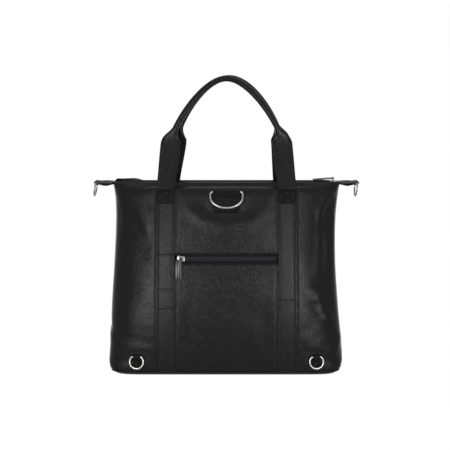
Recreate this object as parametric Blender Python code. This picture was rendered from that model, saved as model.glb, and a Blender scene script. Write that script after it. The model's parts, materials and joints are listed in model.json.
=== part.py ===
"""Zip-top tote bag of grained black faux leather, with rolled handles and D-rings for a strap.

Metres, +Z up. The origin is the middle of the flat underside. The face with the zip pocket
and the strap rings looks along -Y, and the other face looks along +Y.
"""

import math

import bmesh
import bpy
from mathutils import Matrix, Vector

# Fits: the air between two pieces that touch, and between a pin and what turns on it
GAP = 0.0003

# Body: widths and depths of the stuffed outer shell
FOOT_WIDTH = 0.413
WAIST_WIDTH = 0.380
WAIST_HEIGHT = 0.250
TOP_WIDTH = 0.392
FOOT_DEPTH = 0.150
TOP_DEPTH = 0.072
WALL_HEIGHT = 0.320
SIDE_ROUND = 0.026
FACE_ROUND = 0.011
FOOT_SQUARENESS = 8.0
TOP_SQUARENESS = 2.6
SQUARE_POWER = 2
BELLY_POWER = 1.6
SWELL_POWER = 1.5
WING_POWER = 3
SEAM_HEIGHT = 0.008
LEATHER = 0.0020

# Inside: board in the base, lining hung inside the shell
BOARD = 0.0025
BOARD_MARGIN = 0.002
LINING = 0.0010
LINING_EASE = 0.003
LINING_DROP = 0.008

# Strips that run up both faces and carry the handles
STRIP_CENTRE = 0.103
FRONT_STRIP_CENTRE = 0.0985
STRIP_WIDTH = 0.031
STRIP = 0.0016

# Handles: a flat strap at each end that rolls round a cord between them
STRAP = 0.0040
STRAP_LENGTH = 0.081
STRAP_LEAN = 0.010
ROLL_LENGTH = 0.028
GRIP_DIAMETER = 0.010
HANDLE_RISE = 0.185
SHOULDER_REACH = 0.025
CROWN_REACH = 0.040
FRONT_SWAY = 0.0040
FRONT_STRAP_LEAN = 0.008
FRONT_CROWN_REACH = 0.045
WRAP = 0.0016
WRAP_SLIT = 0.0006
CORE_EASE = 0.0002
STRAP_SQUARENESS = 6.0
GRIP_SQUARENESS = 2.0
HINGE_DROP = 0.003
HINGE_HEIGHT = WALL_HEIGHT - HINGE_DROP
HINGE_ROOM = 0.0005
ANCHOR_LENGTH = 0.024

# Zips: one size of chain, slider and pull for both
CHAIN_WIDTH = 0.0060
CHAIN_SLIT = 0.0010
TOOTH_PITCH = 0.0060
TOOTH_LENGTH = 0.0036
TOOTH_ROOT = 0.0010
TEETH = 0.0020
TAPE = 0.0008
TAPE_WIDTH = 0.025
SLIDER_LENGTH = 0.012
SLIDER_PLATE = 0.0012
SLIDER_LIP = 0.0008
SLIDER_FLARE = 0.0014
SLIDER_WEB = 0.0005
SLIDER_SHOULDER = 0.7
SLIDER_NOSE = 0.8
BAIL = 0.0018
KNUCKLE_WIDTH = 0.0040
KNUCKLE_WALL = 0.0012
BAIL_ROOM = 0.0004
PULL_WIDTH = 0.0105
PULL_LENGTH = 0.0345
PULL_OFFSET = 0.0035
PULL = 0.0018
PULL_GROOVE = 0.0005
PULL_GROOVE_WIDTH = PULL_WIDTH / 6
PULL_CHAMFER = 0.0012

# Top closure
ZIP_RISE = 0.005
ZIP_HEIGHT = WALL_HEIGHT + ZIP_RISE
ZIP_MARGIN = 0.006
ZIP_LENGTH = TOP_WIDTH - 2 * ZIP_MARGIN
ZIP_END_ROOM = 0.006
FACING = 0.0016
FACING_LAP = 0.009
FACING_END = 0.003
FACING_DROP = 0.0004
FACING_FIT = 0.0008
TOP_PULL_LEAN = math.radians(4.0)
TOP_BAIL_RISE = 0.0046

# Tabs at the ends of the top zip, and the rings in them
TAB = 0.0015
END_TAB_LAP = 0.005
END_TAB_LENGTH = 0.034
END_TAB_START = TOP_WIDTH / 2 - END_TAB_LAP
END_TAB_REACH = END_TAB_START + END_TAB_LENGTH
TAPE_TUCK = 0.007
END_RING_RADIUS = 0.0145
END_RING_CHORD = 0.0090
LEFT_RING_LEAN = math.radians(9.0)
RIGHT_RING_LEAN = math.radians(-5.0)
RING_WIRE = 0.0030
TAB_EASE = 0.0010

# Zip pocket in the back face
POCKET_HEIGHT = 0.2015
POCKET_WINDOW = 0.0165
POCKET_ZIP_MARGIN = 0.0015
POCKET_ZIP_LENGTH = 2 * (STRIP_CENTRE - POCKET_ZIP_MARGIN) - STRIP_WIDTH
POCKET_TAPE_MARGIN = 0.003
POCKET_TAPE_LENGTH = 2 * (STRIP_CENTRE - POCKET_TAPE_MARGIN)
POCKET_END_ROOM = 0.009
POUCH_WIDTH = 0.160
POUCH_LENGTH = 0.130
POUCH_DEPTH = 0.0135
POUCH = 0.0008
POUCH_EASE = 0.0045
PULL_CLEARANCE = 0.0008

# Strap rings on the back face
TOP_RING_BELOW = 0.007
TOP_RING_HEIGHT = WALL_HEIGHT - TOP_RING_BELOW
TOP_RING_WIDTH = 0.051
TOP_RING_DROP = 0.027
TOP_RING_SIDE = 0.008
TOP_RING_WIRE = 0.0038
TOP_RING_CORNER = 0.004
TOP_TAB_LENGTH = 0.029
LOW_RING_HEIGHT = 0.0345
LOW_RING_OFFSET = 0.153
LOW_RING_RADIUS = 0.0116
LOW_RING_CHORD = 0.0080
LOW_RING_WIRE = 0.0034
LOW_TAB_LENGTH = 0.015
TAB_TAPER = 0.006
TOP_RING_LEAN = math.radians(5.0)
LOW_RING_LEAN = math.radians(8.0)

# How finely curved forms are cut into flats
LOOP_POINTS = 32
WIRE_SIDES = 8
WRAP_POINTS = 9
KNUCKLE_SIDES = 16
FACE_COLUMNS = 10
FACE_ROWS = 9
LOWER_ROWS = 6
UPPER_ROWS = 4
CORNER_COLUMNS = 9
LINING_ROWS = 7
STRIP_ROWS = 10
FACING_COLUMNS = 18
ARCH_STEPS = 12
BOW_STEPS = 15
FOLD_STEPS = 8

# Heights at which a rounding is cut, as shares of its radius
FACE_CUT = 0.9
SIDE_CUT = 0.5
DISH_CUTS = (0.12, 0.4)

# How far the middle of a quarter round lies in from its corner, as a share of its radius
ROUND_MIDDLE = 1 - math.sqrt(0.5)

# Sides of the bag, and left and right as seen from the back face
BACK = -1
FRONT = 1
LEFT = -1
RIGHT = 1

LEATHER_BLACK = ("soft_grain_faux_leather", (0.018, 0.018, 0.019), 0.46, 0.0)
LINING_GREY = ("woven_lining", (0.060, 0.060, 0.065), 0.85, 0.0)
BOARD_GREY = ("base_board_plastic", (0.030, 0.030, 0.030), 0.60, 0.0)
CORE_BLACK = ("handle_core_cord", (0.050, 0.050, 0.050), 0.90, 0.0)
TAPE_BLACK = ("zip_tape_polyester", (0.010, 0.010, 0.011), 0.80, 0.0)
TEETH_BLACK = ("zip_teeth_moulded", (0.012, 0.012, 0.013), 0.40, 0.0)
NICKEL = ("polished_nickel", (0.700, 0.690, 0.670), 0.18, 1.0)


def clear_scene():
    for item in list(bpy.data.objects):
        bpy.data.objects.remove(item)


def finish_of(spec):
    """One Principled material for each finish, made the first time that it is asked for."""
    name, colour, roughness, metallic = spec
    material = bpy.data.materials.get(name)
    if material is None:
        material = bpy.data.materials.new(name)
        material.use_nodes = True
        shader = material.node_tree.nodes["Principled BSDF"]
        shader.inputs["Base Color"].default_value = (*colour, 1.0)
        shader.inputs["Roughness"].default_value = roughness
        shader.inputs["Metallic"].default_value = metallic
    return material


def make_object(name, work, finish, frame=None):
    """Turn a bmesh into a named object, with its origin and axes at the given frame."""
    bmesh.ops.recalc_face_normals(work, faces=work.faces)
    mesh = bpy.data.meshes.new(name)
    work.to_mesh(mesh)
    work.free()
    mesh.materials.append(finish_of(finish))
    mesh.shade_smooth()
    mesh.set_sharp_from_angle(angle=math.radians(35))
    item = bpy.data.objects.new(name, mesh)
    bpy.context.collection.objects.link(item)
    if frame is not None:
        item.matrix_world = frame
    return item


def join_union(item, tool):
    """Weld a second closed shape onto an object with a Boolean union."""
    tool.hide_render = True
    tool.display_type = "WIRE"
    weld = item.modifiers.new("weld", "BOOLEAN")
    weld.operation = "UNION"
    weld.solver = "EXACT"
    weld.object = tool


def steps(first, last, count):
    return [first + (last - first) * index / count for index in range(count + 1)]


def ease(share):
    """Smooth step from 0 to 1."""
    share = min(max(share, 0.0), 1.0)
    return share * share * (3 - 2 * share)


# The shell's outer surface: at every height a rounded box, wide and square at the foot,
# and drawn out to a pointed lens at the top


def round_inset(z, radius):
    """How far the rounded bottom edge draws the wall in at height z."""
    if z >= radius:
        return 0.0
    return radius - math.sqrt(radius ** 2 - (radius - z) ** 2)


def half_width(z):
    if z < WAIST_HEIGHT:
        swell = (1 - z / WAIST_HEIGHT) ** SWELL_POWER
        reach = (WAIST_WIDTH + (FOOT_WIDTH - WAIST_WIDTH) * swell) / 2
    else:
        rise = (z - WAIST_HEIGHT) / (WALL_HEIGHT - WAIST_HEIGHT)
        reach = (WAIST_WIDTH + (TOP_WIDTH - WAIST_WIDTH) * rise ** WING_POWER) / 2
    return reach - round_inset(z, SIDE_ROUND)


def half_depth(z):
    narrowing = (z / WALL_HEIGHT) ** BELLY_POWER
    depth = TOP_DEPTH + (FOOT_DEPTH - TOP_DEPTH) * (1 - narrowing)
    return depth / 2 - round_inset(z, FACE_ROUND)


def squareness(z):
    below = 1 - min(z / WALL_HEIGHT, 1.0)
    return TOP_SQUARENESS + (FOOT_SQUARENESS - TOP_SQUARENESS) * below ** SQUARE_POWER


def face_depth(x, z, inset=0.0):
    """Distance of a face from the bag's middle plane, x from the middle and z up."""
    power = squareness(z)
    width = half_width(z) - inset
    depth = half_depth(z) - inset
    return depth * (1 - (abs(x) / width) ** power) ** (1 / power)


def strip_centre(side):
    return STRIP_CENTRE if side == BACK else FRONT_STRIP_CENTRE


def face_surface(side):
    """Points of the front or back face, by x and height."""
    def point(x, z):
        return Vector((x, side * face_depth(x, z), z))
    return point


def corner_surface(side, hand):
    """Points from a strip's middle line (0) round the corner to the side seam (1), by height."""
    def point(share, z):
        width = half_width(z)
        depth = half_depth(z)
        power = squareness(z)
        start = math.acos(((strip_centre(side) + GAP / 2) / width) ** (power / 2))
        end = math.asin((GAP / 2 / depth) ** (power / 2))
        angle = start + (end - start) * share
        x = width * math.cos(angle) ** (2 / power)
        y = depth * math.sin(angle) ** (2 / power)
        return Vector((hand * x, side * y, z))
    return point


def outward(surface, u, v):
    """Unit normal of the surface that points away from the bag's middle."""
    spot = surface(u, v)
    small = 1e-4
    along = surface(u - math.copysign(small, u), v) - spot
    up = surface(u, v - small) - spot
    normal = along.cross(up).normalized()
    width = half_width(v)
    depth = half_depth(v)
    away = Vector((spot.x / width ** 2, spot.y / depth ** 2, 0.0))
    return normal if normal.dot(away) > 0 else -normal


def lifted(surface, height):
    """The surface moved out by a height, or in where the height is negative."""
    def point(u, v):
        return surface(u, v) + outward(surface, u, v) * height
    return point


def slab(name, outer, inner, us, vs, finish):
    """Closed solid between two faces, each a function of u and v."""
    work = bmesh.new()
    layers = []
    for face in (outer, inner):
        layers.append([[work.verts.new(face(u, v)) for u in us] for v in vs])
    for grid in layers:
        for lower, upper in zip(grid, grid[1:]):
            for index in range(len(us) - 1):
                work.faces.new((lower[index], lower[index + 1], upper[index + 1], upper[index]))
    rims = [rim_of(grid) for grid in layers]
    count = len(rims[0])
    for index in range(count):
        after = (index + 1) % count
        work.faces.new((rims[0][index], rims[0][after], rims[1][after], rims[1][index]))
    return make_object(name, work, finish)


def rim_of(grid):
    """The corners round the edge of a grid of points, in order."""
    right = [row[-1] for row in grid[1:-1]]
    left = [row[0] for row in grid[-2:0:-1]]
    return grid[0] + right + grid[-1][::-1] + left


def panel(name, surface, us, vs, inner, outer):
    """Leather laid on the shell's surface between two heights above it."""
    return slab(name, lifted(surface, outer), lifted(surface, inner), us, vs, LEATHER_BLACK)


def shell_loop(z, level, inset, shift=0.0):
    """The shell's outline at height z, drawn in by an inset, set at a level and moved forward."""
    width = half_width(z) - inset - shift
    depth = half_depth(z) - inset - shift
    power = squareness(z)
    loop = []
    for index in range(LOOP_POINTS):
        angle = 2 * math.pi * (index + 0.5) / LOOP_POINTS
        cosine = math.cos(angle)
        sine = math.sin(angle)
        x = width * math.copysign(abs(cosine) ** (2 / power), cosine)
        y = depth * math.copysign(abs(sine) ** (2 / power), sine)
        loop.append(Vector((x, y + shift, level)))
    return loop


def bridge(work, rings):
    """Faces between each ring of corners and the next."""
    for first, second in zip(rings, rings[1:]):
        count = len(first)
        for index in range(count):
            after = (index + 1) % count
            work.faces.new((first[index], first[after], second[after], second[index]))


def skin_loops(work, loops):
    """Solid through rings of points in order, with a flat face on the first and last ring."""
    rings = [[work.verts.new(spot) for spot in loop] for loop in loops]
    bridge(work, rings)
    work.faces.new(rings[0])
    work.faces.new(rings[-1])


def mitre(before, spot, after):
    """Direction through a bend, and how much wider a section is when it is cut along the bend."""
    way_in = (spot - before).normalized()
    way_out = (after - spot).normalized()
    along = (way_in + way_out).normalized()
    return along, 1 / max(along.dot(way_in), along.dot(way_out))


def wire(work, path, radius, closed):
    """Round wire along points in one plane, as a ring or with two flat ends."""
    count = len(path)
    normal = (path[1] - path[0]).cross(path[2] - path[1]).normalized()
    rings = []
    for index, spot in enumerate(path):
        before = path[index - 1] if closed or index > 0 else spot
        after = path[(index + 1) % count] if closed or index < count - 1 else spot
        along, stretch = mitre(before, spot, after)
        across = along.cross(normal) * stretch
        turn = []
        for side in range(WIRE_SIDES):
            angle = 2 * math.pi * (side + 0.5) / WIRE_SIDES
            offset = across * math.cos(angle) + normal * math.sin(angle)
            turn.append(work.verts.new(spot + offset * radius))
        rings.append(turn)
    bridge(work, rings + rings[:1] if closed else rings)
    if not closed:
        work.faces.new(rings[0])
        work.faces.new(rings[-1])


def ribbon(name, path, thickness, width, finish, frame):
    """Flat strip of leather that follows a path in the local YZ plane, centred on local X."""
    half = width / 2
    last = len(path) - 1
    loops = []
    for index, spot in enumerate(path):
        along, stretch = mitre(path[max(index - 1, 0)], spot, path[min(index + 1, last)])
        across = Vector((-along.y, along.x)) * (thickness / 2 * stretch)
        over = spot + across
        under = spot - across
        loops.append([Vector((-half, over.x, over.y)), Vector((half, over.x, over.y)),
                      Vector((half, under.x, under.y)), Vector((-half, under.x, under.y))])
    work = bmesh.new()
    skin_loops(work, loops)
    return make_object(name, work, finish, frame)


def box(work, low, high):
    spots = [[(x, y, z) for x, y in ((low[0], low[1]), (high[0], low[1]),
                                     (high[0], high[1]), (low[0], high[1]))]
             for z in (low[2], high[2])]
    skin_loops(work, [[Vector(spot) for spot in ring] for ring in spots])


def face_frame(x, z):
    """Frame on the back face: X along it, Z up it, and -Y straight out of it."""
    surface = face_surface(BACK)
    out = outward(surface, x, z)
    along = (Vector((0, 0, 1)).cross(-out)).normalized() * -1
    up = along.cross(-out)
    frame = Matrix((along, -out, up)).transposed().to_4x4()
    frame.translation = surface(x, z)
    return frame


# Outer shell


def back_and_front_panels():
    seam = GAP / 2
    inner = -LEATHER
    edge = strip_centre(BACK) - seam
    across = steps(-edge, edge, FACE_COLUMNS)
    foot = SEAM_HEIGHT + seam
    low_edge = POCKET_HEIGHT - POCKET_WINDOW / 2
    high_edge = POCKET_HEIGHT + POCKET_WINDOW / 2
    back = face_surface(BACK)
    rounding = [foot, FACE_ROUND * FACE_CUT]
    lower = rounding + steps(FACE_ROUND, low_edge, LOWER_ROWS)
    panel("back_lower_panel", back, across, lower, inner, 0)
    upper = steps(high_edge, WALL_HEIGHT, UPPER_ROWS)
    panel("back_upper_panel", back, across, upper, inner, 0)
    edge = strip_centre(FRONT) - seam
    across = steps(-edge, edge, FACE_COLUMNS)
    heights = rounding + steps(FACE_ROUND, WALL_HEIGHT, FACE_ROWS)
    panel("front_panel", face_surface(FRONT), across, heights, inner, 0)
    round_corner = steps(0, 1, CORNER_COLUMNS)
    corner_heights = [foot, SIDE_ROUND * SIDE_CUT] + steps(SIDE_ROUND, WALL_HEIGHT, FACE_ROWS)
    for side, face in ((BACK, "back"), (FRONT, "front")):
        for hand, where in ((LEFT, "left"), (RIGHT, "right")):
            surface = corner_surface(side, hand)
            panel(face + "_" + where + "_side_panel", surface, round_corner, corner_heights,
                  inner, 0)


def base_panel():
    """Dish that rounds up from the floor to the seam under the walls."""
    rim = SEAM_HEIGHT - GAP / 2
    low, middle = DISH_CUTS
    outer_levels = [0.0, rim * low, rim * middle, rim]
    inner_levels = [rim, LEATHER + (rim - LEATHER) * middle, LEATHER]
    loops = [shell_loop(z, z, 0.0) for z in outer_levels]
    loops += [shell_loop(z, z, LEATHER) for z in inner_levels]
    work = bmesh.new()
    skin_loops(work, loops)
    make_object("base_panel", work, LEATHER_BLACK)


def base_board():
    """Stiff board that lies in the flat of the base."""
    low = LEATHER + GAP
    margin = LEATHER + BOARD_MARGIN
    work = bmesh.new()
    skin_loops(work, [shell_loop(0.0, low, margin), shell_loop(0.0, low + BOARD, margin)])
    make_object("base_board", work, BOARD_GREY)


def lining():
    """Open cloth bag that stands on the board, set forward to leave room for the pocket."""
    floor = LEATHER + BOARD + 2 * GAP
    top = WALL_HEIGHT - LINING_DROP
    inset = LEATHER + LINING_EASE
    shift = (POUCH_DEPTH + POUCH_EASE) / 2
    levels = [floor, SIDE_ROUND * SIDE_CUT] + steps(SIDE_ROUND, top, LINING_ROWS)
    outer = [shell_loop(z, z, inset, shift) for z in levels]
    inside = [floor + LINING] + levels[1:]
    inner = [shell_loop(z, z, inset + LINING, shift) for z in inside]
    work = bmesh.new()
    skin_loops(work, outer + inner[::-1])
    make_object("lining", work, LINING_GREY)


# Strips and handles


def strips():
    rounding = [SEAM_HEIGHT + GAP, FACE_ROUND * FACE_CUT]
    heights = rounding + steps(FACE_ROUND, WALL_HEIGHT, STRIP_ROWS)
    for side, face in ((BACK, "back"), (FRONT, "front")):
        for hand, where in ((LEFT, "left"), (RIGHT, "right")):
            middle = hand * strip_centre(side)
            across = steps(middle - STRIP_WIDTH / 2, middle + STRIP_WIDTH / 2, 2)
            panel(face + "_" + where + "_strip", face_surface(side), across, heights,
                  GAP, GAP + STRIP)


def handle_anchors():
    """Sewn-down ends of the handles, on the strips."""
    low = GAP + STRIP + GAP
    heights = steps(HINGE_HEIGHT - ANCHOR_LENGTH, HINGE_HEIGHT - GAP, 2)
    for side, face in ((BACK, "back"), (FRONT, "front")):
        for hand, where in ((LEFT, "left"), (RIGHT, "right")):
            middle = hand * strip_centre(side)
            across = steps(middle - STRIP_WIDTH / 2, middle + STRIP_WIDTH / 2, 2)
            panel(face + "_" + where + "_handle_anchor", face_surface(side), across, heights,
                  low, low + STRAP)


def bezier(spots, share):
    a, b, c, d = spots
    rest = 1 - share
    return a * rest ** 3 + b * (3 * rest ** 2 * share) + c * (3 * rest * share ** 2) + d * share ** 3


def handle_half(side):
    """Centre points of half a handle, from its hinge to the crown, as x and height over the hinge."""
    lean = STRAP_LEAN if side == BACK else FRONT_STRAP_LEAN
    reach = CROWN_REACH if side == BACK else FRONT_CROWN_REACH
    foot = Vector((strip_centre(side), HINGE_ROOM))
    shoulder = Vector((strip_centre(side) - lean, STRAP_LENGTH))
    crown = Vector((0.0, HANDLE_RISE))
    climb = (shoulder - foot).normalized()
    curve = [shoulder, shoulder + climb * SHOULDER_REACH, crown + Vector((reach, 0)), crown]
    leg = [foot, foot.lerp(shoulder, 0.5)]
    arch = [bezier(curve, share) for share in steps(0.0, 1.0, ARCH_STEPS)]
    return leg + arch


def handle_path(side, sway):
    """Centre points from end to end, moved aside by the sway from the shoulders up."""
    half = handle_half(side)
    mirrored = [Vector((-spot.x, spot.y)) for spot in half]
    whole = mirrored + half[-2::-1]
    return [Vector((spot.x + sway * ease(spot.y / STRAP_LENGTH), spot.y)) for spot in whole]


def wrap_section(width, thickness, power, wall):
    """C-shaped section of the wrap: leather all round, with a slit where its edges meet."""
    ring = []
    for half_w, half_t in ((width, thickness), (width - wall, thickness - wall)):
        slit = math.asin((WRAP_SLIT / 2 / half_w) ** (power / 2))
        angles = steps(math.pi / 2 + slit, math.pi * 2.5 - slit, WRAP_POINTS)
        side = []
        for angle in angles:
            cosine = math.cos(angle)
            sine = math.sin(angle)
            side.append((half_w * math.copysign(abs(cosine) ** (2 / power), cosine),
                         half_t * math.copysign(abs(sine) ** (2 / power), sine)))
        ring.append(side)
    return ring[0] + ring[1][::-1]


def handle_stations(side, sway):
    """Along the handle: centre, the way across it, and how far it is rolled up."""
    path = handle_path(side, sway)
    runs = [0.0]
    for before, after in zip(path, path[1:]):
        runs.append(runs[-1] + (after - before).length)
    stations = []
    for index, spot in enumerate(path):
        along, _ = mitre(path[max(index - 1, 0)], spot, path[min(index + 1, len(path) - 1)])
        if index in (0, len(path) - 1):
            along = Vector((0.0, math.copysign(1.0, along.y)))
        from_end = min(runs[index], runs[-1] - runs[index])
        rolled = ease((from_end - STRAP_LENGTH) / ROLL_LENGTH)
        stations.append((spot, Vector((along.y, -along.x)), rolled))
    return stations


def handle_loops(stations, section):
    loops = []
    for spot, across, rolled in stations:
        loop = []
        for sideways, through in section(rolled):
            place = spot + across * sideways
            loop.append(Vector((place.x, GAP + STRAP / 2 + through, place.y)))
        loops.append(loop)
    return loops


def strap_section(rolled):
    grip = GRIP_DIAMETER / 2
    width = STRIP_WIDTH / 2 + (grip - STRIP_WIDTH / 2) * rolled
    thickness = STRAP / 2 + (grip - STRAP / 2) * rolled
    power = STRAP_SQUARENESS + (GRIP_SQUARENESS - STRAP_SQUARENESS) * rolled
    return wrap_section(width, thickness, power, WRAP)


def core_section(rolled):
    apothem = (GRIP_DIAMETER / 2 - WRAP) * math.cos(math.pi / WRAP_POINTS)
    radius = apothem - CORE_EASE
    angles = [2 * math.pi * (index + 0.5) / WIRE_SIDES for index in range(WIRE_SIDES)]
    return [(radius * math.cos(angle), radius * math.sin(angle)) for angle in angles]


def handle_frame(side):
    """Frame on the hinge line, just outside the strap's outer face, turned to face its side."""
    surface = face_surface(side)
    lift = GAP + STRIP + GAP + STRAP
    edge = lifted(surface, lift)(strip_centre(side) - STRIP_WIDTH / 2, HINGE_HEIGHT)
    turn = 0.0 if side == BACK else math.pi
    place = Vector((0.0, edge.y + side * GAP, edge.z))
    return Matrix.Translation(place) @ Matrix.Rotation(turn, 4, "Z")


def handles():
    for side, face, sway in ((BACK, "back", 0.0), (FRONT, "front", -FRONT_SWAY)):
        stations = handle_stations(side, sway)
        rolled_up = [station for station in stations if station[2] > 0.999]
        frame = handle_frame(side)
        work = bmesh.new()
        skin_loops(work, handle_loops(stations, strap_section))
        make_object(face + "_handle", work, LEATHER_BLACK, frame)
        work = bmesh.new()
        skin_loops(work, handle_loops(rolled_up, core_section))
        make_object(face + "_handle_core", work, CORE_BLACK, frame)


# Zips: X runs along the chain, Z across it, and -Y is the side that shows


def zip_tapes(names, frame, length):
    near = CHAIN_WIDTH / 2 + GAP
    for name, way in zip(names, (RIGHT, LEFT)):
        edges = sorted((way * near, way * TAPE_WIDTH / 2))
        work = bmesh.new()
        box(work, (-length / 2, -TAPE / 2, edges[0]), (length / 2, TAPE / 2, edges[1]))
        make_object(name, work, TAPE_BLACK, frame)


def zip_teeth(names, frame, length):
    """Two facing combs of teeth, with a slit between for the slider's web."""
    back = CHAIN_WIDTH / 2
    root = back - TOOTH_ROOT
    tip = CHAIN_SLIT / 2
    count = int(length / TOOTH_PITCH)
    first = -count * TOOTH_PITCH / 2
    for name, way in zip(names, (RIGHT, LEFT)):
        outline = [(first, back), (first, root)]
        for index in range(count):
            middle = first + (index + 0.5) * TOOTH_PITCH
            start = middle - TOOTH_LENGTH / 2
            end = middle + TOOTH_LENGTH / 2
            outline += [(start, root), (start, tip), (end, tip), (end, root)]
        outline += [(-first, root), (-first, back)]
        work = bmesh.new()
        loops = [[Vector((x, y, way * z)) for x, z in outline] for y in (-TEETH / 2, TEETH / 2)]
        skin_loops(work, loops)
        make_object(name, work, TEETH_BLACK, frame)


def slider_section(lip):
    """Two plates joined by a web, with lips that reach in to the tape: Z across, Y through."""
    channel = TEETH / 2 + GAP
    plate = channel + SLIDER_PLATE
    lip_end = TAPE / 2 + GAP
    web = SLIDER_WEB / 2
    rim = lip + SLIDER_LIP
    quarter = [(web, channel), (lip, channel), (lip, lip_end), (rim, lip_end), (rim, plate)]
    over = [(z, -y) for z, y in quarter]
    over += [(-z, -y) for z, y in quarter[::-1]]
    under = [(-z, y) for z, y in quarter]
    under += [(z, y) for z, y in quarter[::-1]]
    return over + under


def bail_path(rise, along_zip):
    """Staple on the slider: two legs and a bar, along the zip or across it."""
    foot = -(TEETH / 2 + GAP + SLIDER_PLATE / 2)
    half = KNUCKLE_WIDTH / 2 + BAIL_ROOM + BAIL / 2
    top = foot - SLIDER_PLATE / 2 - rise
    bend = BAIL / 2
    cut = bend * ROUND_MIDDLE
    flat = [(-half, foot), (-half, top + bend), (-half + cut, top + cut), (-half + bend, top),
            (half - bend, top), (half - cut, top + cut), (half, top + bend), (half, foot)]
    if along_zip:
        return [Vector((a, y, 0.0)) for a, y in flat]
    return [Vector((0.0, y, a)) for a, y in flat]


def zip_slider(name, frame, rise, along_zip):
    close = CHAIN_WIDTH / 2 + GAP
    half = SLIDER_LENGTH / 2
    work = bmesh.new()
    loops = []
    for x, lip in ((-half, close), (0.0, close), (half * SLIDER_SHOULDER, close + SLIDER_FLARE),
                   (half, close + SLIDER_FLARE * SLIDER_NOSE)):
        loops.append([Vector((x, y, z)) for z, y in slider_section(lip)])
    skin_loops(work, loops)
    body = make_object(name, work, NICKEL, frame)
    work = bmesh.new()
    wire(work, bail_path(rise, along_zip), BAIL / 2, False)
    join_union(body, make_object(name + "_bail_tool", work, NICKEL, frame))


def zip_pull(name, frame):
    """Grooved plate that hangs down -Z, set aside from a knuckle round the local X axis."""
    bore = BAIL / 2 / math.cos(math.pi / WIRE_SIDES) + GAP
    outer = bore + KNUCKLE_WALL
    half = PULL_WIDTH / 2
    face = PULL / 2
    deep = face - PULL_GROOVE
    groove = PULL_GROOVE_WIDTH / 2
    top = -(bore + KNUCKLE_WALL / 2)
    work = bmesh.new()
    loops = []
    for z, draw_in in ((top, 0.0), (-PULL_LENGTH + PULL_CHAMFER, 0.0), (-PULL_LENGTH, PULL_CHAMFER)):
        edge = half - draw_in
        outline = [(edge, face), (-edge, face), (-edge, -face)]
        for middle in (-PULL_GROOVE_WIDTH, PULL_GROOVE_WIDTH):
            outline += [(middle - groove, -face), (middle - groove, -deep),
                        (middle + groove, -deep), (middle + groove, -face)]
        outline.append((edge, -face))
        loops.append([Vector((x - PULL_OFFSET, y, z)) for x, y in outline])
    skin_loops(work, loops)
    plate = make_object(name, work, NICKEL, frame)
    work = bmesh.new()
    rings = []
    for x, radius in ((-1, bore), (-1, outer), (1, outer), (1, bore)):
        ring = []
        for index in range(KNUCKLE_SIDES):
            angle = 2 * math.pi * index / KNUCKLE_SIDES
            scale = radius / math.cos(math.pi / KNUCKLE_SIDES) if radius == bore else radius
            ring.append(work.verts.new((x * KNUCKLE_WIDTH / 2, scale * math.cos(angle),
                                        scale * math.sin(angle))))
        rings.append(ring)
    bridge(work, rings + rings[:1])
    join_union(plate, make_object(name + "_knuckle_tool", work, NICKEL, frame))


def bail_height(rise):
    """How far the bail's bar lies outside the tape's middle."""
    return TEETH / 2 + GAP + SLIDER_PLATE + rise


def top_zip_frame():
    """X along the bag, the showing side up, and Z across the bag to the front."""
    frame = Matrix(((1, 0, 0), (0, 0, 1), (0, -1, 0))).to_4x4()
    frame.translation = Vector((0.0, 0.0, ZIP_HEIGHT))
    return frame


def top_zip():
    frame = top_zip_frame()
    tape_length = 2 * (END_TAB_START + TAPE_TUCK)
    zip_tapes(("main_zip_front_tape", "main_zip_back_tape"), frame, tape_length)
    zip_teeth(("main_zip_front_teeth", "main_zip_back_teeth"), frame, ZIP_LENGTH)
    at_end = Matrix.Translation((ZIP_LENGTH / 2 - ZIP_END_ROOM, 0.0, 0.0))
    zip_slider("main_zip_slider", frame @ at_end, TOP_BAIL_RISE, False)
    bar = Matrix.Translation((0.0, -bail_height(TOP_BAIL_RISE), 0.0))
    lie = Matrix.Rotation(math.pi / 2, 4, "Y") @ Matrix.Rotation(TOP_PULL_LEAN, 4, "X")
    zip_pull("main_zip_pull", frame @ at_end @ bar @ lie)


def facing_profile(x):
    """Underside of a top facing at x: flat over the tape, then down to the wall's top edge."""
    over_tape = ZIP_HEIGHT + TAPE / 2 + GAP
    bend = TAPE_WIDTH / 2 + GAP
    reach = face_depth(x, WALL_HEIGHT, LEATHER + FACING_FIT)
    return [(FACING_LAP, over_tape), (bend, over_tape), (reach, WALL_HEIGHT - FACING_DROP - FACING)]


def facing_surface(side, lift):
    def point(x, row):
        y, z = facing_profile(x)[row]
        return Vector((x, side * y, z + lift))
    return point


def top_facings():
    """Leather bands that bridge from the walls' top edges to the zip's tapes."""
    inset = LEATHER + FACING_FIT
    width = half_width(WALL_HEIGHT) - inset
    depth = half_depth(WALL_HEIGHT) - inset
    least = (TAPE_WIDTH / 2 + FACING_END) / depth
    end = width * (1 - least ** TOP_SQUARENESS) ** (1 / TOP_SQUARENESS)
    for side, name in ((BACK, "back_top_facing"), (FRONT, "front_top_facing")):
        along = steps(-end, end, FACING_COLUMNS)
        rows = range(len(facing_profile(0.0)))
        slab(name, facing_surface(side, FACING), facing_surface(side, 0.0), along, rows,
             LEATHER_BLACK)


# D-rings and the leather tabs that hold them


def round_d(radius, chord):
    """D-ring path: a bar on the local X axis, and a round bow under it."""
    half = math.sqrt(radius ** 2 - chord ** 2)
    start = math.atan2(chord, half)
    bow = []
    for angle in steps(start, -math.pi - start, BOW_STEPS):
        bow.append(Vector((radius * math.cos(angle), 0.0, radius * math.sin(angle) - chord)))
    return bow


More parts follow.
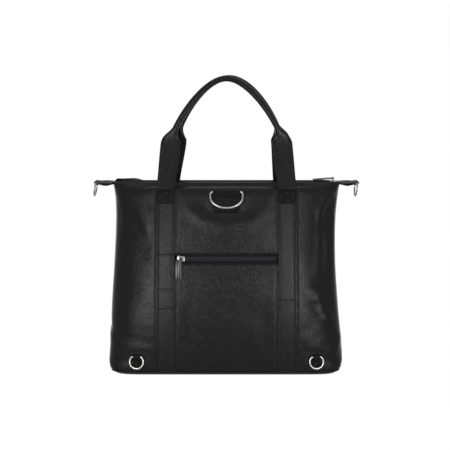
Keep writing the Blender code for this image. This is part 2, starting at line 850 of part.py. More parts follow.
def wide_d(width, drop, side, corner, wire_size):
    """Wide D-ring path: a bar with rounded ends, short sides and a flat oval bow."""
    reach = (width + wire_size) / 2
    cut = corner * ROUND_MIDDLE
    shoulder = [Vector((reach - corner, 0.0, 0.0)), Vector((reach - cut, 0.0, -cut)),
                Vector((reach, 0.0, -corner))]
    bow = []
    for angle in steps(0.0, -math.pi, BOW_STEPS):
        bow.append(Vector((reach * math.cos(angle), 0.0, (drop - side) * math.sin(angle) - side)))
    return shoulder + bow + [Vector((-spot.x, 0.0, spot.z)) for spot in shoulder[::-1]]


def ring(name, path, wire_size, frame):
    work = bmesh.new()
    wire(work, path, wire_size / 2, True)
    make_object(name, work, NICKEL, frame)


def round_d_tab_width(radius, chord, wire_size):
    """Widest tab that fits on the bar of a round D-ring."""
    return 2 * (math.sqrt(radius ** 2 - chord ** 2) - wire_size / 2 - TAB_EASE)


def ring_tab(name, bar_frame, length, width, wire_size):
    """Leather folded over a ring's bar, both layers sewn down below it."""
    turn = wire_size / 2 / math.cos(math.pi / WIRE_SIDES) + GAP + TAB / 2
    under = turn
    over = turn - TAB - GAP
    path = [Vector((under, -length))]
    for angle in steps(0.0, math.pi, FOLD_STEPS):
        path.append(Vector((math.cos(angle), math.sin(angle))) * turn)
    path.append(Vector((over, -TAB_TAPER - wire_size)))
    path.append(Vector((over, -length)))
    ribbon(name, path, TAB, width, LEATHER_BLACK, bar_frame)


def ring_seat(x, z, wire_size):
    """Frame of a ring's bar, held off the back face by its folded tab."""
    stand_off = wire_size / 2 / math.cos(math.pi / WIRE_SIDES) + GAP + TAB + GAP
    return face_frame(x, z) @ Matrix.Translation((0.0, -stand_off, 0.0))


def back_rings():
    seat = ring_seat(0.0, TOP_RING_HEIGHT, TOP_RING_WIRE)
    path = wide_d(TOP_RING_WIDTH, TOP_RING_DROP, TOP_RING_SIDE, TOP_RING_CORNER, TOP_RING_WIRE)
    lean = Matrix.Rotation(-TOP_RING_LEAN, 4, "X")
    ring("top_ring", path, TOP_RING_WIRE, seat @ lean)
    tab_width = TOP_RING_WIDTH - 2 * (TOP_RING_CORNER - TOP_RING_WIRE / 2 + TAB_EASE)
    ring_tab("top_ring_tab", seat, TOP_TAB_LENGTH, tab_width, TOP_RING_WIRE)
    path = round_d(LOW_RING_RADIUS, LOW_RING_CHORD)
    lean = Matrix.Rotation(-LOW_RING_LEAN, 4, "X")
    tab_width = round_d_tab_width(LOW_RING_RADIUS, LOW_RING_CHORD, LOW_RING_WIRE)
    for hand, where in ((LEFT, "left"), (RIGHT, "right")):
        seat = ring_seat(hand * LOW_RING_OFFSET, LOW_RING_HEIGHT, LOW_RING_WIRE)
        ring("lower_" + where + "_ring", path, LOW_RING_WIRE, seat @ lean)
        ring_tab("lower_" + where + "_ring_tab", seat, LOW_TAB_LENGTH, tab_width, LOW_RING_WIRE)


def end_tabs():
    """Tabs that clamp the ends of the top zip, folded round a hanging ring."""
    path = round_d(END_RING_RADIUS, END_RING_CHORD)
    width = round_d_tab_width(END_RING_RADIUS, END_RING_CHORD, RING_WIRE)
    turn = RING_WIRE / 2 / math.cos(math.pi / WIRE_SIDES) + GAP + TAB / 2
    layer = TAPE / 2 + GAP + TAB / 2
    for hand, where, lean in ((LEFT, "left", LEFT_RING_LEAN), (RIGHT, "right", RIGHT_RING_LEAN)):
        turned = Matrix.Rotation(-hand * math.pi / 2, 4, "Z")
        seat = Matrix.Translation((hand * END_TAB_REACH, 0.0, ZIP_HEIGHT)) @ turned
        fold = [Vector((-END_TAB_LENGTH, layer)), Vector((-TAB_TAPER, layer))]
        for angle in steps(math.pi / 2, -math.pi / 2, FOLD_STEPS):
            fold.append(Vector((math.cos(angle), math.sin(angle))) * turn)
        fold += [Vector((-TAB_TAPER, -layer)), Vector((-END_TAB_LENGTH, -layer))]
        ribbon(where + "_end_tab", fold, TAB, width, LEATHER_BLACK, seat)
        ring(where + "_end_ring", path, RING_WIRE, seat @ Matrix.Rotation(lean, 4, "X"))


# Zip pocket


def pocket_drop():
    """Depth of the flat tape's face under the middle of the curved back face."""
    curve = face_depth(0.0, POCKET_HEIGHT) - face_depth(POCKET_TAPE_LENGTH / 2, POCKET_HEIGHT)
    return LEATHER + GAP + curve


def pocket():
    drop = pocket_drop() + TAPE / 2
    frame = face_frame(0.0, POCKET_HEIGHT) @ Matrix.Translation((0.0, drop, 0.0))
    zip_tapes(("pocket_zip_upper_tape", "pocket_zip_lower_tape"), frame, POCKET_TAPE_LENGTH)
    zip_teeth(("pocket_zip_upper_teeth", "pocket_zip_lower_teeth"), frame, POCKET_ZIP_LENGTH)
    at_end = Matrix.Translation((-POCKET_ZIP_LENGTH / 2 + POCKET_END_ROOM, 0.0, 0.0))
    flip = Matrix.Rotation(math.pi, 4, "Y")
    rise = drop + PULL_CLEARANCE + PULL / 2 - bail_height(0.0)
    zip_slider("pocket_zip_slider", frame @ at_end @ flip, rise, True)
    bar = Matrix.Translation((0.0, -bail_height(rise), 0.0))
    zip_pull("pocket_zip_pull", frame @ at_end @ bar)


def pocket_pouch():
    """Open-topped cloth pouch that hangs behind the lower tape, along the wall's chord."""
    top = POCKET_HEIGHT - TAPE_WIDTH / 2 - GAP
    bottom = top - POUCH_LENGTH
    high = face_depth(0.0, top)
    low = face_depth(0.0, bottom)
    lean = math.atan2(low - high, top - bottom)
    frame = Matrix.Translation((0.0, -high, top)) @ Matrix.Rotation(-lean, 4, "X")
    near = pocket_drop()
    half = POUCH_WIDTH / 2
    loops = []
    for z, wall in ((-POUCH_LENGTH, 0.0), (0.0, 0.0), (0.0, POUCH), (-POUCH_LENGTH + POUCH, POUCH)):
        left = -half + wall
        right = half - wall
        front = near + wall
        back = near + POUCH_DEPTH - wall
        loops.append([Vector((left, front, z)), Vector((right, front, z)),
                      Vector((right, back, z)), Vector((left, back, z))])
    work = bmesh.new()
    skin_loops(work, loops)
    make_object("pocket_pouch", work, LINING_GREY, frame)


def main():
    clear_scene()
    back_and_front_panels()
    base_panel()
    base_board()
    lining()
    strips()
    handle_anchors()
    handles()
    top_zip()
    top_facings()
    back_rings()
    end_tabs()
    pocket()
    pocket_pouch()


main()
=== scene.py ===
# %% [markdown]
# # A grained faux-leather tote, dressed over its CAD frame
#
# The CAD model already has every piece at its real size. This lesson dresses it: the stiff leather
# solids give way to soft, creased ones, the zips get fine teeth, and each surface gets a finish.
# We load the frame first. Nothing that we add may outgrow it.

import json
import math

import bmesh
import bpy
import numpy as np
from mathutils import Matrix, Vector


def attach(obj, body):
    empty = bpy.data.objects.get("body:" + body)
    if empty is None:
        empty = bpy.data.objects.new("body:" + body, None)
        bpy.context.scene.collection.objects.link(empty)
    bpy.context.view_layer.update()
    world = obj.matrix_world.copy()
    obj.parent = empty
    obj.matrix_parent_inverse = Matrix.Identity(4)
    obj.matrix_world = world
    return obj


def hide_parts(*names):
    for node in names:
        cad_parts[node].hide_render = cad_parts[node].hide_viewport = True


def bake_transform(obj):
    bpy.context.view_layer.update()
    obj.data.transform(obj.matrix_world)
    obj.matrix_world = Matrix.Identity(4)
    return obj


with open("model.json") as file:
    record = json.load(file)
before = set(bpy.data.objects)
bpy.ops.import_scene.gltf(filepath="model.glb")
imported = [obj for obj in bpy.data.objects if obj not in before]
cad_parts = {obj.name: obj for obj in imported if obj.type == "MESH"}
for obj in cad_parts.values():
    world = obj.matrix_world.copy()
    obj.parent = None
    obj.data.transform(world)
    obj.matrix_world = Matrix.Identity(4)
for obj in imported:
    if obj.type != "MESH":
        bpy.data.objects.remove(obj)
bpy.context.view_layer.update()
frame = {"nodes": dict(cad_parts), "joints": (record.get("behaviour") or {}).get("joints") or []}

# %% [markdown]
# ## The camera
#
# The photo was taken from about 1.5 m, a little above the bag: the far top edge shows just over the
# near one. A long lens keeps the sides upright. We set the camera by a place and a downward tilt.

# %% Camera
CAMERA_DISTANCE = 1.556
CAMERA_HEIGHT = 0.5235
CAMERA_TILT = math.radians(10.0)
SENSOR = 36.0
FOCAL_PIXELS = 905.0
FRAME_PIXELS = 450.0
BAG_PIXELS_ASIDE, BAG_PIXELS_DOWN = 1.5, 0.5

eye = bpy.data.cameras.new("camera")
eye.sensor_width = SENSOR
eye.lens = SENSOR * FOCAL_PIXELS / FRAME_PIXELS
eye.shift_x = -BAG_PIXELS_ASIDE / FRAME_PIXELS
eye.shift_y = BAG_PIXELS_DOWN / FRAME_PIXELS
camera = bpy.data.objects.new("camera", eye)
camera.location = (0.0, -CAMERA_DISTANCE, CAMERA_HEIGHT)
camera.rotation_euler = (math.pi / 2 - CAMERA_TILT, 0.0, 0.0)
bpy.context.scene.collection.objects.link(camera)
bpy.context.scene.camera = camera
bpy.context.scene.view_settings.view_transform = "Standard"
print("lens:", round(eye.lens, 1), "mm")

# %% [markdown]
# ## Colours and nodes
#
# Colours are written as sRGB hex, as a paint program shows them, and one function turns them to the
# linear values that shaders use. One more function adds a shader node, sets it up and links it.


# %% Colour and node helpers
def linear(code):
    """Red, green, blue and full alpha, in linear light, of an sRGB hex colour."""
    values = [int(code[place:place + 2], 16) / 255 for place in (1, 3, 5)]
    return [v / 12.92 if v <= 0.04045 else ((v + 0.055) / 1.055) ** 2.4 for v in values] + [1.0]


def add(tree, kind, links=None, **settings):
    """Add a node, set its properties, then fill its inputs with values or other nodes' outputs."""
    node = tree.nodes.new(kind)
    for name, value in settings.items():
        setattr(node, name, value)
    for name, value in (links or {}).items():
        socket = node.inputs[name]
        if isinstance(value, bpy.types.NodeSocket):
            tree.links.new(value, socket)
        else:
            socket.default_value = value
    return node


def new_finish(name, dark, pale):
    """A new material: its tree, its shader, its object coordinates in metres, and the input that takes
    its colour from a dark to a pale one."""
    material = bpy.data.materials.new(name)
    material.use_nodes = True
    tree = material.node_tree
    shader = tree.nodes["Principled BSDF"]
    place = add(tree, "ShaderNodeTexCoord").outputs["Object"]
    ramp = add(tree, "ShaderNodeValToRGB")
    for stop, code in zip(ramp.color_ramp.elements, (dark, pale)):
        stop.color = linear(code)
    tree.links.new(ramp.outputs["Color"], shader.inputs["Base Color"])
    return material, tree, shader, place, ramp.inputs["Fac"]


print("mid grey #808080 is", round(linear("#808080")[0], 3), "in linear light")

# %% [markdown]
# ## Stage and light
#
# A product shot on white: a pale sheet that curves up behind the bag, a wide soft lamp overhead, two
# upright soft boxes beside the camera, and two low ones behind. The front boxes mirror in the leather
# as two broad gleams near the strips, and the back ones light the sides and the far face. The sheet
# itself is grey, so that it throws little light on black leather and still takes the bag's shadow. It
# glows white for the camera, and for what shows it in metal or through glass. So does the room beyond.

# %% Stage
SWEEP_RADIUS, SWEEP_TURNS = 0.6, 12
SWEEP_FRONT, SWEEP_BACK = -3.0, 1.6
SWEEP_HALF, SWEEP_TOP = 4.0, 4.0

profile = [(SWEEP_FRONT, 0.0), (SWEEP_BACK - SWEEP_RADIUS, 0.0)]
for turn in range(1, SWEEP_TURNS):
    angle = math.pi / 2 * turn / SWEEP_TURNS
    profile.append((SWEEP_BACK - SWEEP_RADIUS + SWEEP_RADIUS * math.sin(angle),
                    SWEEP_RADIUS * (1 - math.cos(angle))))
profile += [(SWEEP_BACK, SWEEP_RADIUS), (SWEEP_BACK, SWEEP_TOP)]
points = [(x, y, z) for y, z in profile for x in (-SWEEP_HALF, SWEEP_HALF)]
faces = [(2 * i, 2 * i + 1, 2 * i + 3, 2 * i + 2) for i in range(len(profile) - 1)]
sheet = bpy.data.meshes.new("paper_sweep")
sheet.from_pydata(points, [], faces)
sheet.shade_smooth()
sweep = bpy.data.objects.new("paper_sweep", sheet)
bpy.context.scene.collection.objects.link(sweep)
print("paper sweep:", len(sheet.polygons), "faces")

# %% Paper
PAPER_COLOUR, PAPER_GLOW = "#525252", 0.97


def seen_rays(tree):
    """1 for rays that show the background, straight or in metal or glass, and 0 for those that light."""
    rays = add(tree, "ShaderNodeLightPath")
    seen = rays.outputs["Is Camera Ray"]
    for kind in ("Is Glossy Ray", "Is Transmission Ray"):
        either = add(tree, "ShaderNodeMath", {0: seen, 1: rays.outputs[kind]}, operation="MAXIMUM")
        seen = either.outputs[0]
    return seen


# Uncoated paper has no shine at all: the eye sees one even tone, and the bag's soft shadow on it
paper = bpy.data.materials.new("matt_white_paper")
paper.use_nodes = True
tree = paper.node_tree
shader = tree.nodes["Principled BSDF"]
shader.inputs["Base Color"].default_value = linear(PAPER_COLOUR)
shader.inputs["Roughness"].default_value = 0.9
shader.inputs["Specular IOR Level"].default_value = 0.0
shader.inputs["Emission Color"].default_value = linear("#ffffff")
glow = add(tree, "ShaderNodeMath", {0: seen_rays(tree), 1: PAPER_GLOW}, operation="MULTIPLY")
tree.links.new(glow.outputs[0], shader.inputs["Emission Strength"])
sheet.materials.append(paper)
print("paper glows at", PAPER_GLOW, "where it is seen")

# %% Lamps
AIM = Vector((0.0, 0.0, 0.20))
ROOM_LIGHT = 0.20


def soft_box(name, place, width, height, watts):
    """A lamp with a soft white face, turned to the middle of the bag."""
    lamp = bpy.data.lights.new(name, "AREA")
    lamp.shape = "RECTANGLE"
    lamp.size = width
    lamp.size_y = height
    lamp.energy = watts
    item = bpy.data.objects.new(name, lamp)
    item.location = place
    item.rotation_euler = (AIM - Vector(place)).to_track_quat("-Z", "Y").to_euler()
    bpy.context.scene.collection.objects.link(item)


soft_box("left_soft_box", (-0.345, -1.0, 0.245), 0.24, 0.37, 4.5)
soft_box("right_soft_box", (0.345, -1.0, 0.245), 0.24, 0.37, 4.3)
soft_box("top_soft_box", (0.0, -0.8, 2.0), 2.2, 1.2, 12.0)
soft_box("back_left_soft_box", (-1.1, 1.25, 0.40), 0.5, 0.8, 2.2)
soft_box("back_right_soft_box", (1.1, 1.25, 0.40), 0.5, 0.8, 2.2)

world = bpy.data.worlds.new("studio")
world.use_nodes = True
bpy.context.scene.world = world
tree = world.node_tree
sky = tree.nodes["Background"]
sky.inputs["Color"].default_value = linear("#ffffff")
level = add(tree, "ShaderNodeMath", {0: seen_rays(tree), 1: ROOM_LIGHT}, operation="MAXIMUM")
tree.links.new(level.outputs[0], sky.inputs["Strength"])

# %% [markdown]
# ## Faux leather
#
# The bag is polyurethane leather: a thin film on cloth, embossed with a soft pebble grain, near
# black. The eye sees small pebbles with fine valleys, wherever light glances off. Black film mirrors
# the white room, so its shine is set low to keep it black. Where the film is pulled tight round a
# cord, the grain is drawn flat and it shines more: the handles carry that as a number at each point.
# Real pebbles are about 1.2 mm wide. A pixel of the render is wider than that, so ours are 2.6 mm.

# %% Faux leather finish
PEBBLE = 0.0026
PEBBLE_HEIGHT = 0.00013
# How strongly the grain stands out, on loose film and on film that is pulled tight round a cord
GRAIN, PULLED_GRAIN = 0.58, 0.10
# Where the film is pulled tight: how much more it shines, and how much smoother it is
PULLED_SHINE, PULLED_SMOOTH = 1.3, 0.10
# Shine of the dullest and the brightest specks of the grain, as shares of the film's own
DULL_SPECK, BRIGHT_SPECK = 0.7, 1.3


def faux_leather(name, dark, pale, roughness, pebble, shine):
    """Film with domed pebbles, pores and drawn crinkles. It shines more where it is pulled tight."""
    material, tree, shader, place, tone = new_finish(name, dark, pale)
    drift = add(tree, "ShaderNodeTexNoise", {"Vector": place, "Scale": 0.35 / pebble, "Detail": 3.0})
    bent = add(tree, "ShaderNodeVectorMath", {0: drift.outputs["Color"], 1: (pebble, pebble, pebble)},
               operation="MULTIPLY")
    moved = add(tree, "ShaderNodeVectorMath", {0: place, 1: bent.outputs[0]}, operation="ADD")
    cells = add(tree, "ShaderNodeTexVoronoi", {"Vector": moved.outputs[0], "Scale": 1 / pebble},
                feature="DISTANCE_TO_EDGE")
    dome = add(tree, "ShaderNodeMapRange", {"Value": cells.outputs["Distance"], "From Min": 0.0,
                                            "From Max": 0.32}, interpolation_type="SMOOTHSTEP")
    pores = add(tree, "ShaderNodeTexNoise", {"Vector": place, "Scale": 2.4 / pebble, "Detail": 4.0,
                                             "Roughness": 0.6})
    drawn = add(tree, "ShaderNodeVectorMath", {0: place, 1: (1.0, 1.0, 0.45)}, operation="MULTIPLY")
    crinkle = add(tree, "ShaderNodeTexNoise", {"Vector": drawn.outputs[0], "Scale": 0.5 / pebble,
                                               "Detail": 4.0, "Roughness": 0.6, "Distortion": 1.2})
    grain = add(tree, "ShaderNodeMath", {0: pores.outputs["Fac"], 1: 0.5, 2: dome.outputs[0]},
                operation="MULTIPLY_ADD")
    relief = add(tree, "ShaderNodeMath", {0: crinkle.outputs["Fac"], 1: 1.6, 2: grain.outputs[0]},
                 operation="MULTIPLY_ADD")
    pulled = add(tree, "ShaderNodeAttribute", attribute_name="pulled_tight")
    flatter = add(tree, "ShaderNodeMapRange", {"Value": pulled.outputs["Fac"], "To Min": GRAIN,
                                               "To Max": PULLED_GRAIN})
    bump = add(tree, "ShaderNodeBump", {"Height": relief.outputs[0], "Strength": flatter.outputs[0],
                                        "Distance": PEBBLE_HEIGHT})
    # Painted shade: the colour is darker in the valleys between pebbles and paler on their domes, mixed
    # with random tone in broad patches. The same mix makes the domes a little smoother.
    patches = add(tree, "ShaderNodeTexNoise", {"Vector": place, "Scale": 14.0, "Detail": 3.0})
    valley_shade_and_patches = add(tree, "ShaderNodeMath", {0: patches.outputs["Fac"], 1: 0.6, 2: dome.outputs[0]},
               operation="MULTIPLY_ADD")
    share = add(tree, "ShaderNodeMapRange", {"Value": valley_shade_and_patches.outputs[0], "From Min": 0.1, "From Max": 1.4})
    tree.links.new(share.outputs[0], tone)
    gloss = add(tree, "ShaderNodeMapRange", {"Value": valley_shade_and_patches.outputs[0], "From Min": 0.0, "From Max": 1.5,
                                             "To Min": roughness + 0.10, "To Max": roughness - 0.05})
    fine = add(tree, "ShaderNodeTexNoise", {"Vector": drawn.outputs[0], "Scale": 1.0 / pebble,
                                            "Detail": 2.0, "Roughness": 0.5, "Distortion": 0.6})
    glints = add(tree, "ShaderNodeMapRange", {"Value": fine.outputs["Fac"], "From Min": 0.32,
                                              "From Max": 0.68, "To Min": DULL_SPECK * shine,
                                              "To Max": BRIGHT_SPECK * shine})
    tight = add(tree, "ShaderNodeMath", {0: pulled.outputs["Fac"], 1: PULLED_SHINE, 2: 1.0},
                operation="MULTIPLY_ADD")
    shining = add(tree, "ShaderNodeMath", {0: glints.outputs[0], 1: tight.outputs[0]},
                  operation="MULTIPLY")
    smoother = add(tree, "ShaderNodeMath", {0: pulled.outputs["Fac"], 1: -PULLED_SMOOTH,
                                            2: gloss.outputs[0]}, operation="MULTIPLY_ADD")
    tree.links.new(smoother.outputs[0], shader.inputs["Roughness"])
    tree.links.new(shining.outputs[0], shader.inputs["Specular IOR Level"])
    tree.links.new(bump.outputs[0], shader.inputs["Normal"])
    return material


FINE_PEBBLE = PEBBLE * 0.8
# Walls, facings and base: broad soft gleams, broken up by the grain
leather = faux_leather("embossed_pu_leather", "#111112", "#1a1a1b", 0.20, PEBBLE, 0.10)
# Strips: the same film, drawn flat over the seams, so its grain looks finer
strip_leather = faux_leather("embossed_pu_leather_strip", "#111112", "#1a1a1b", 0.21, FINE_PEBBLE, 0.10)
# Straps, tabs and welt: a duller film, so that threads and edges show more than gleams do
strap_leather = faux_leather("matt_pu_leather_strap", "#121213", "#1b1b1c", 0.30, FINE_PEBBLE, 0.045)
print("leather pebbles:", PEBBLE * 1000, "mm wide")

# %% [markdown]
# ## Metal, thread and cloth
#
# The rings and sliders are steel wire and zinc castings, nickel plated and polished: they mirror the
# room, a little blurred by faint hairlines. The pulls have a darker plate with a satin face. Zip tape
# and lining are woven polyester, and their weave is drawn at thread spacing. The thread is bonded into
# one smooth strand, the teeth are moulded acetal, and the base board is pressed sheet plastic.


# %% Metal, thread and cloth finishes
HAIRLINES = 900.0  # to the metre


def nickel_plate(name, dark, pale, roughness):
    """Plated metal with a haze of hairlines. Real ones are finer than the render could show."""
    material, tree, shader, place, tone = new_finish(name, dark, pale)
    hair = add(tree, "ShaderNodeTexNoise", {"Vector": place, "Scale": HAIRLINES, "Detail": 3.0})
    haze = add(tree, "ShaderNodeMapRange", {"Value": hair.outputs["Fac"], "To Min": roughness - 0.05,
                                            "To Max": roughness + 0.05})
    tree.links.new(haze.outputs[0], shader.inputs["Roughness"])
    tree.links.new(hair.outputs["Fac"], tone)
    shader.inputs["Metallic"].default_value = 1.0
    bump = add(tree, "ShaderNodeBump", {"Height": hair.outputs["Fac"], "Strength": 0.05,
                                        "Distance": 0.0002})
    tree.links.new(bump.outputs[0], shader.inputs["Normal"])
    return material


def woven(name, dark, pale, thread, roughness):
    """Plain weave: two crossed sets of ridges, one thread apart."""
    material, tree, shader, place, tone = new_finish(name, dark, pale)
    bands = []
    for direction in ("X", "Z"):
        bands.append(add(tree, "ShaderNodeTexWave", {"Vector": place, "Scale": 1 / thread / math.tau * 2,
                                                     "Distortion": 0.4, "Detail": 1.0},
                         bands_direction=direction).outputs["Fac"])
    weave = add(tree, "ShaderNodeMath", {0: bands[0], 1: bands[1]}, operation="MULTIPLY")
    tree.links.new(weave.outputs[0], tone)
    bump = add(tree, "ShaderNodeBump", {"Height": weave.outputs[0], "Strength": 0.6,
                                        "Distance": thread * 0.3})
    tree.links.new(bump.outputs[0], shader.inputs["Normal"])
    shader.inputs["Roughness"].default_value = roughness
    shader.inputs["Specular IOR Level"].default_value = 0.06
    shader.inputs["Sheen Weight"].default_value = 0.02
    return material


def moulded(name, dark, pale, roughness, grit):
    """Plastic from a mould or a press, with the fine grit that the tool leaves in its face."""
    material, tree, shader, place, tone = new_finish(name, dark, pale)
    speck = add(tree, "ShaderNodeTexNoise", {"Vector": place, "Scale": 1 / grit, "Detail": 3.0})
    tree.links.new(speck.outputs["Fac"], tone)
    rough = add(tree, "ShaderNodeMapRange", {"Value": speck.outputs["Fac"], "To Min": roughness - 0.06,
                                             "To Max": roughness + 0.08})
    tree.links.new(rough.outputs[0], shader.inputs["Roughness"])
    shader.inputs["Specular IOR Level"].default_value = 0.18
    bump = add(tree, "ShaderNodeBump", {"Height": speck.outputs["Fac"], "Strength": 0.2,
                                        "Distance": grit * 0.1})
    tree.links.new(bump.outputs[0], shader.inputs["Normal"])
    return material


# Rings and sliders: a bright line where they face the light, next to dark where they face the bag
nickel = nickel_plate("polished_nickel_plate", "#848381", "#908f8d", 0.20)
# Pulls: grey metal with a soft gleam
dark_nickel = nickel_plate("satin_black_nickel_plate", "#31312f", "#3a3a39", 0.26)
# Cloth: no gleam at all, and a fine weave from close by
zip_tape = woven("woven_polyester_zip_tape", "#121214", "#1f1f21", 0.0008, 0.75)
lining_cloth = woven("plain_woven_polyester_lining", "#3a3a3c", "#4c4c4f", 0.0007, 0.8)
core_cord = woven("twisted_cotton_cord", "#3b3833", "#57534c", 0.0012, 0.9)
# Thread: a faint gleam on every stitch
thread = moulded("bonded_polyester_thread", "#0e0e0f", "#1c1c1d", 0.5, 0.0004)
# Teeth: painted lighter than the tape as a painted highlight along the chain, with a row of small glints
teeth_plastic = moulded("moulded_acetal_teeth", "#1f1f20", "#2b2b2c", 0.34, 0.0006)
# Board: dull dark plastic, inside the bag
board_plastic = moulded("pressed_polypropylene_board", "#2b2b2c", "#363637", 0.55, 0.0010)
print("finishes:", len(bpy.data.materials))

# %% [markdown]
# ## The shape of the filled bag
#
# At every height the bag's outline is a rounded box: square at the foot, and drawn to a pointed lens
# under the zip. These are the CAD model's own sizes, so whatever we lay on this surface fits the
# frame. A place on the bag is a side (back -1, front 1), a run round from the middle of that face,
# and a height. Up to RUN_FACE the run is plain x. Beyond it, the run goes round to the side seam.

# %% Outline of the shell
BACK, FRONT = -1, 1
FACES = ((BACK, "back"), (FRONT, "front"))
HANDS = ((-1, "left"), (1, "right"))
GAP = 0.0003
FOOT_WIDTH, WAIST_WIDTH, TOP_WIDTH = 0.413, 0.380, 0.392
FOOT_DEPTH, TOP_DEPTH = 0.150, 0.072
WAIST_HEIGHT, WALL_HEIGHT, SEAM_HEIGHT = 0.250, 0.320, 0.008
SIDE_ROUND, FACE_ROUND = 0.026, 0.011
FOOT_SQUARENESS, TOP_SQUARENESS = 8.0, 2.6
CORNER_SQUARENESS, CORNER_HEIGHT = 5.0, 0.030
LEATHER = 0.0020
STRIP_CENTRES = {BACK: 0.103, FRONT: 0.0985}
STRIP_WIDTH, STRIP = 0.031, 0.0016
RUN_FACE, RUN_END = 0.125, 0.235
# About half the bag's width and depth, to tell which way is out
ROUGH_HALVES = (0.2, 0.07)


def round_inset(z, radius):
    """How far an edge that is rounded at the foot stands in, at a height."""
    low = np.clip(radius - z, 0.0, radius)
    return radius - np.sqrt(radius ** 2 - low ** 2)


def half_width(z):
    """Half the bag's width at a height: wide at the foot, narrow at the waist, winged at the top."""
    swell = np.clip(1 - z / WAIST_HEIGHT, 0, 1) ** 1.5
    wing = np.clip((z - WAIST_HEIGHT) / (WALL_HEIGHT - WAIST_HEIGHT), 0, 1) ** 3
    reach = WAIST_WIDTH + (FOOT_WIDTH - WAIST_WIDTH) * swell + (TOP_WIDTH - WAIST_WIDTH) * wing
    return reach / 2 - round_inset(z, SIDE_ROUND)


def half_depth(z):
    """Half the bag's depth at a height: it narrows to the zip."""
    narrowing = np.clip(z / WALL_HEIGHT, 0, 1) ** 1.6
    depth = TOP_DEPTH + (FOOT_DEPTH - TOP_DEPTH) * (1 - narrowing)
    return depth / 2 - round_inset(z, FACE_ROUND)


def smooth_step(share):
    """From 0 to 1 with soft ends."""
    share = np.clip(share, 0.0, 1.0)
    return share * share * (3 - 2 * share)


def squareness(z):
    """How square the outline is at a height: 2 is an ellipse, and more is a squarer box."""
    below = (1 - np.clip(z / WALL_HEIGHT, 0, 1)) ** 2
    board_corner = CORNER_SQUARENESS * (1 - smooth_step(z / CORNER_HEIGHT))
    return TOP_SQUARENESS + (FOOT_SQUARENESS - TOP_SQUARENESS) * below + board_corner


def shell(side, run, z):
    """Points of the plain shell, for arrays of runs and heights."""
    run, z = np.broadcast_arrays(np.asarray(run, float), np.asarray(z, float))
    width, depth, power = half_width(z), half_depth(z), squareness(z)
    across = np.minimum(np.abs(run), RUN_FACE)
    face = depth * (1 - (across / width) ** power) ** (1 / power)
    share = np.clip((np.abs(run) - RUN_FACE) / (RUN_END - RUN_FACE), 0, 1)
    turn = np.arctan2(face, across) * (1 - share)
    reach = ((np.cos(turn) / width) ** power + (np.sin(turn) / depth) ** power) ** (-1 / power)
    return np.stack([np.sign(run) * reach * np.cos(turn), side * reach * np.sin(turn), z], axis=-1)


def run_at(x, z):
    """The run at which the plain shell has reached a given x."""
    low, high = 0.0, RUN_END
    for _ in range(40):
        middle = (low + high) / 2
        if abs(shell(BACK, middle, z)[0]) < abs(x):
            low = middle
        else:
            high = middle
    return math.copysign(high, x)


def normals_of(surface, side, run, z):
    """Unit normals that point out of the bag, by small steps along a surface of one side."""
    small = 2e-4
    beyond = np.abs(run) > RUN_END - small
    run = np.where(beyond, np.sign(run) * (RUN_END - small), run)
    along = surface(side, run + small, z) - surface(side, run - small, z)
    up = surface(side, run, z + small) - surface(side, run, z - small)
    normal = np.cross(along, up)
    normal /= np.maximum(np.linalg.norm(normal, axis=-1, keepdims=True), 1e-12)
    outward = surface(side, run, z)[..., :2] / ROUGH_HALVES
    flip = np.sign(np.sum(normal[..., :2] * outward, axis=-1, keepdims=True))
    return normal * np.where(flip == 0, 1, flip)


print("foot:", shell(BACK, 0.0, 0.02).round(3), "side:", shell(BACK, RUN_END, 0.25).round(3))

# %% [markdown]
# ## Folds
#
# Soft leather over a loose filling never lies flat. Each fold is a line on the face with a width, and
# a height that fades out at both ends: a ridge stands out and a hollow sinks in. The lines are placed
# where the photo shows a gleam beside a shadow. Round the seams the leather puckers a little.

# %% Folds
def along_line(run, z, line):
    """Distance from a bent line, side of it, and how far along it each place is, from 0 to 1."""
    best = np.full(np.shape(run), 1e9)
    side = np.zeros(np.shape(run))
    share = np.zeros(np.shape(run))
    lengths = [math.dist(a, b) for a, b in zip(line, line[1:])]
    done = 0.0
    for (a, b), length in zip(zip(line, line[1:]), lengths):
        ux, uz = (b[0] - a[0]) / length, (b[1] - a[1]) / length
        t = np.clip((run - a[0]) * ux + (z - a[1]) * uz, 0, length)
        dx, dz = run - a[0] - ux * t, z - a[1] - uz * t
        distance = np.hypot(dx, dz)
        near = distance < best
        best = np.where(near, distance, best)
        side = np.where(near, np.sign(ux * dz - uz * dx), side)
        share = np.where(near, (done + t) / sum(lengths), share)
        done += length
    return best, side, share


def fold(run, z, line, width, height, shade=0.0):
    """A ridge (or hollow) on a line, with a hollow (or ridge) of a share of its height beside it."""
    distance, side, share = along_line(run, z, line)
    ends = smooth_step(np.minimum(share, 1 - share) / 0.3)
    reach = np.exp(-(distance / width) ** 2)
    beside = np.exp(-((distance * side - 1.6 * width) / (1.2 * width)) ** 2)
    return height * ends * (reach - shade * beside)


print("a lone ridge of 1 mm is", fold(np.array([0.0]), np.array([0.1]), [(0.0, 0.0), (0.0, 0.2)],
                                      0.01, 1.0)[0].round(2), "mm high in its middle")

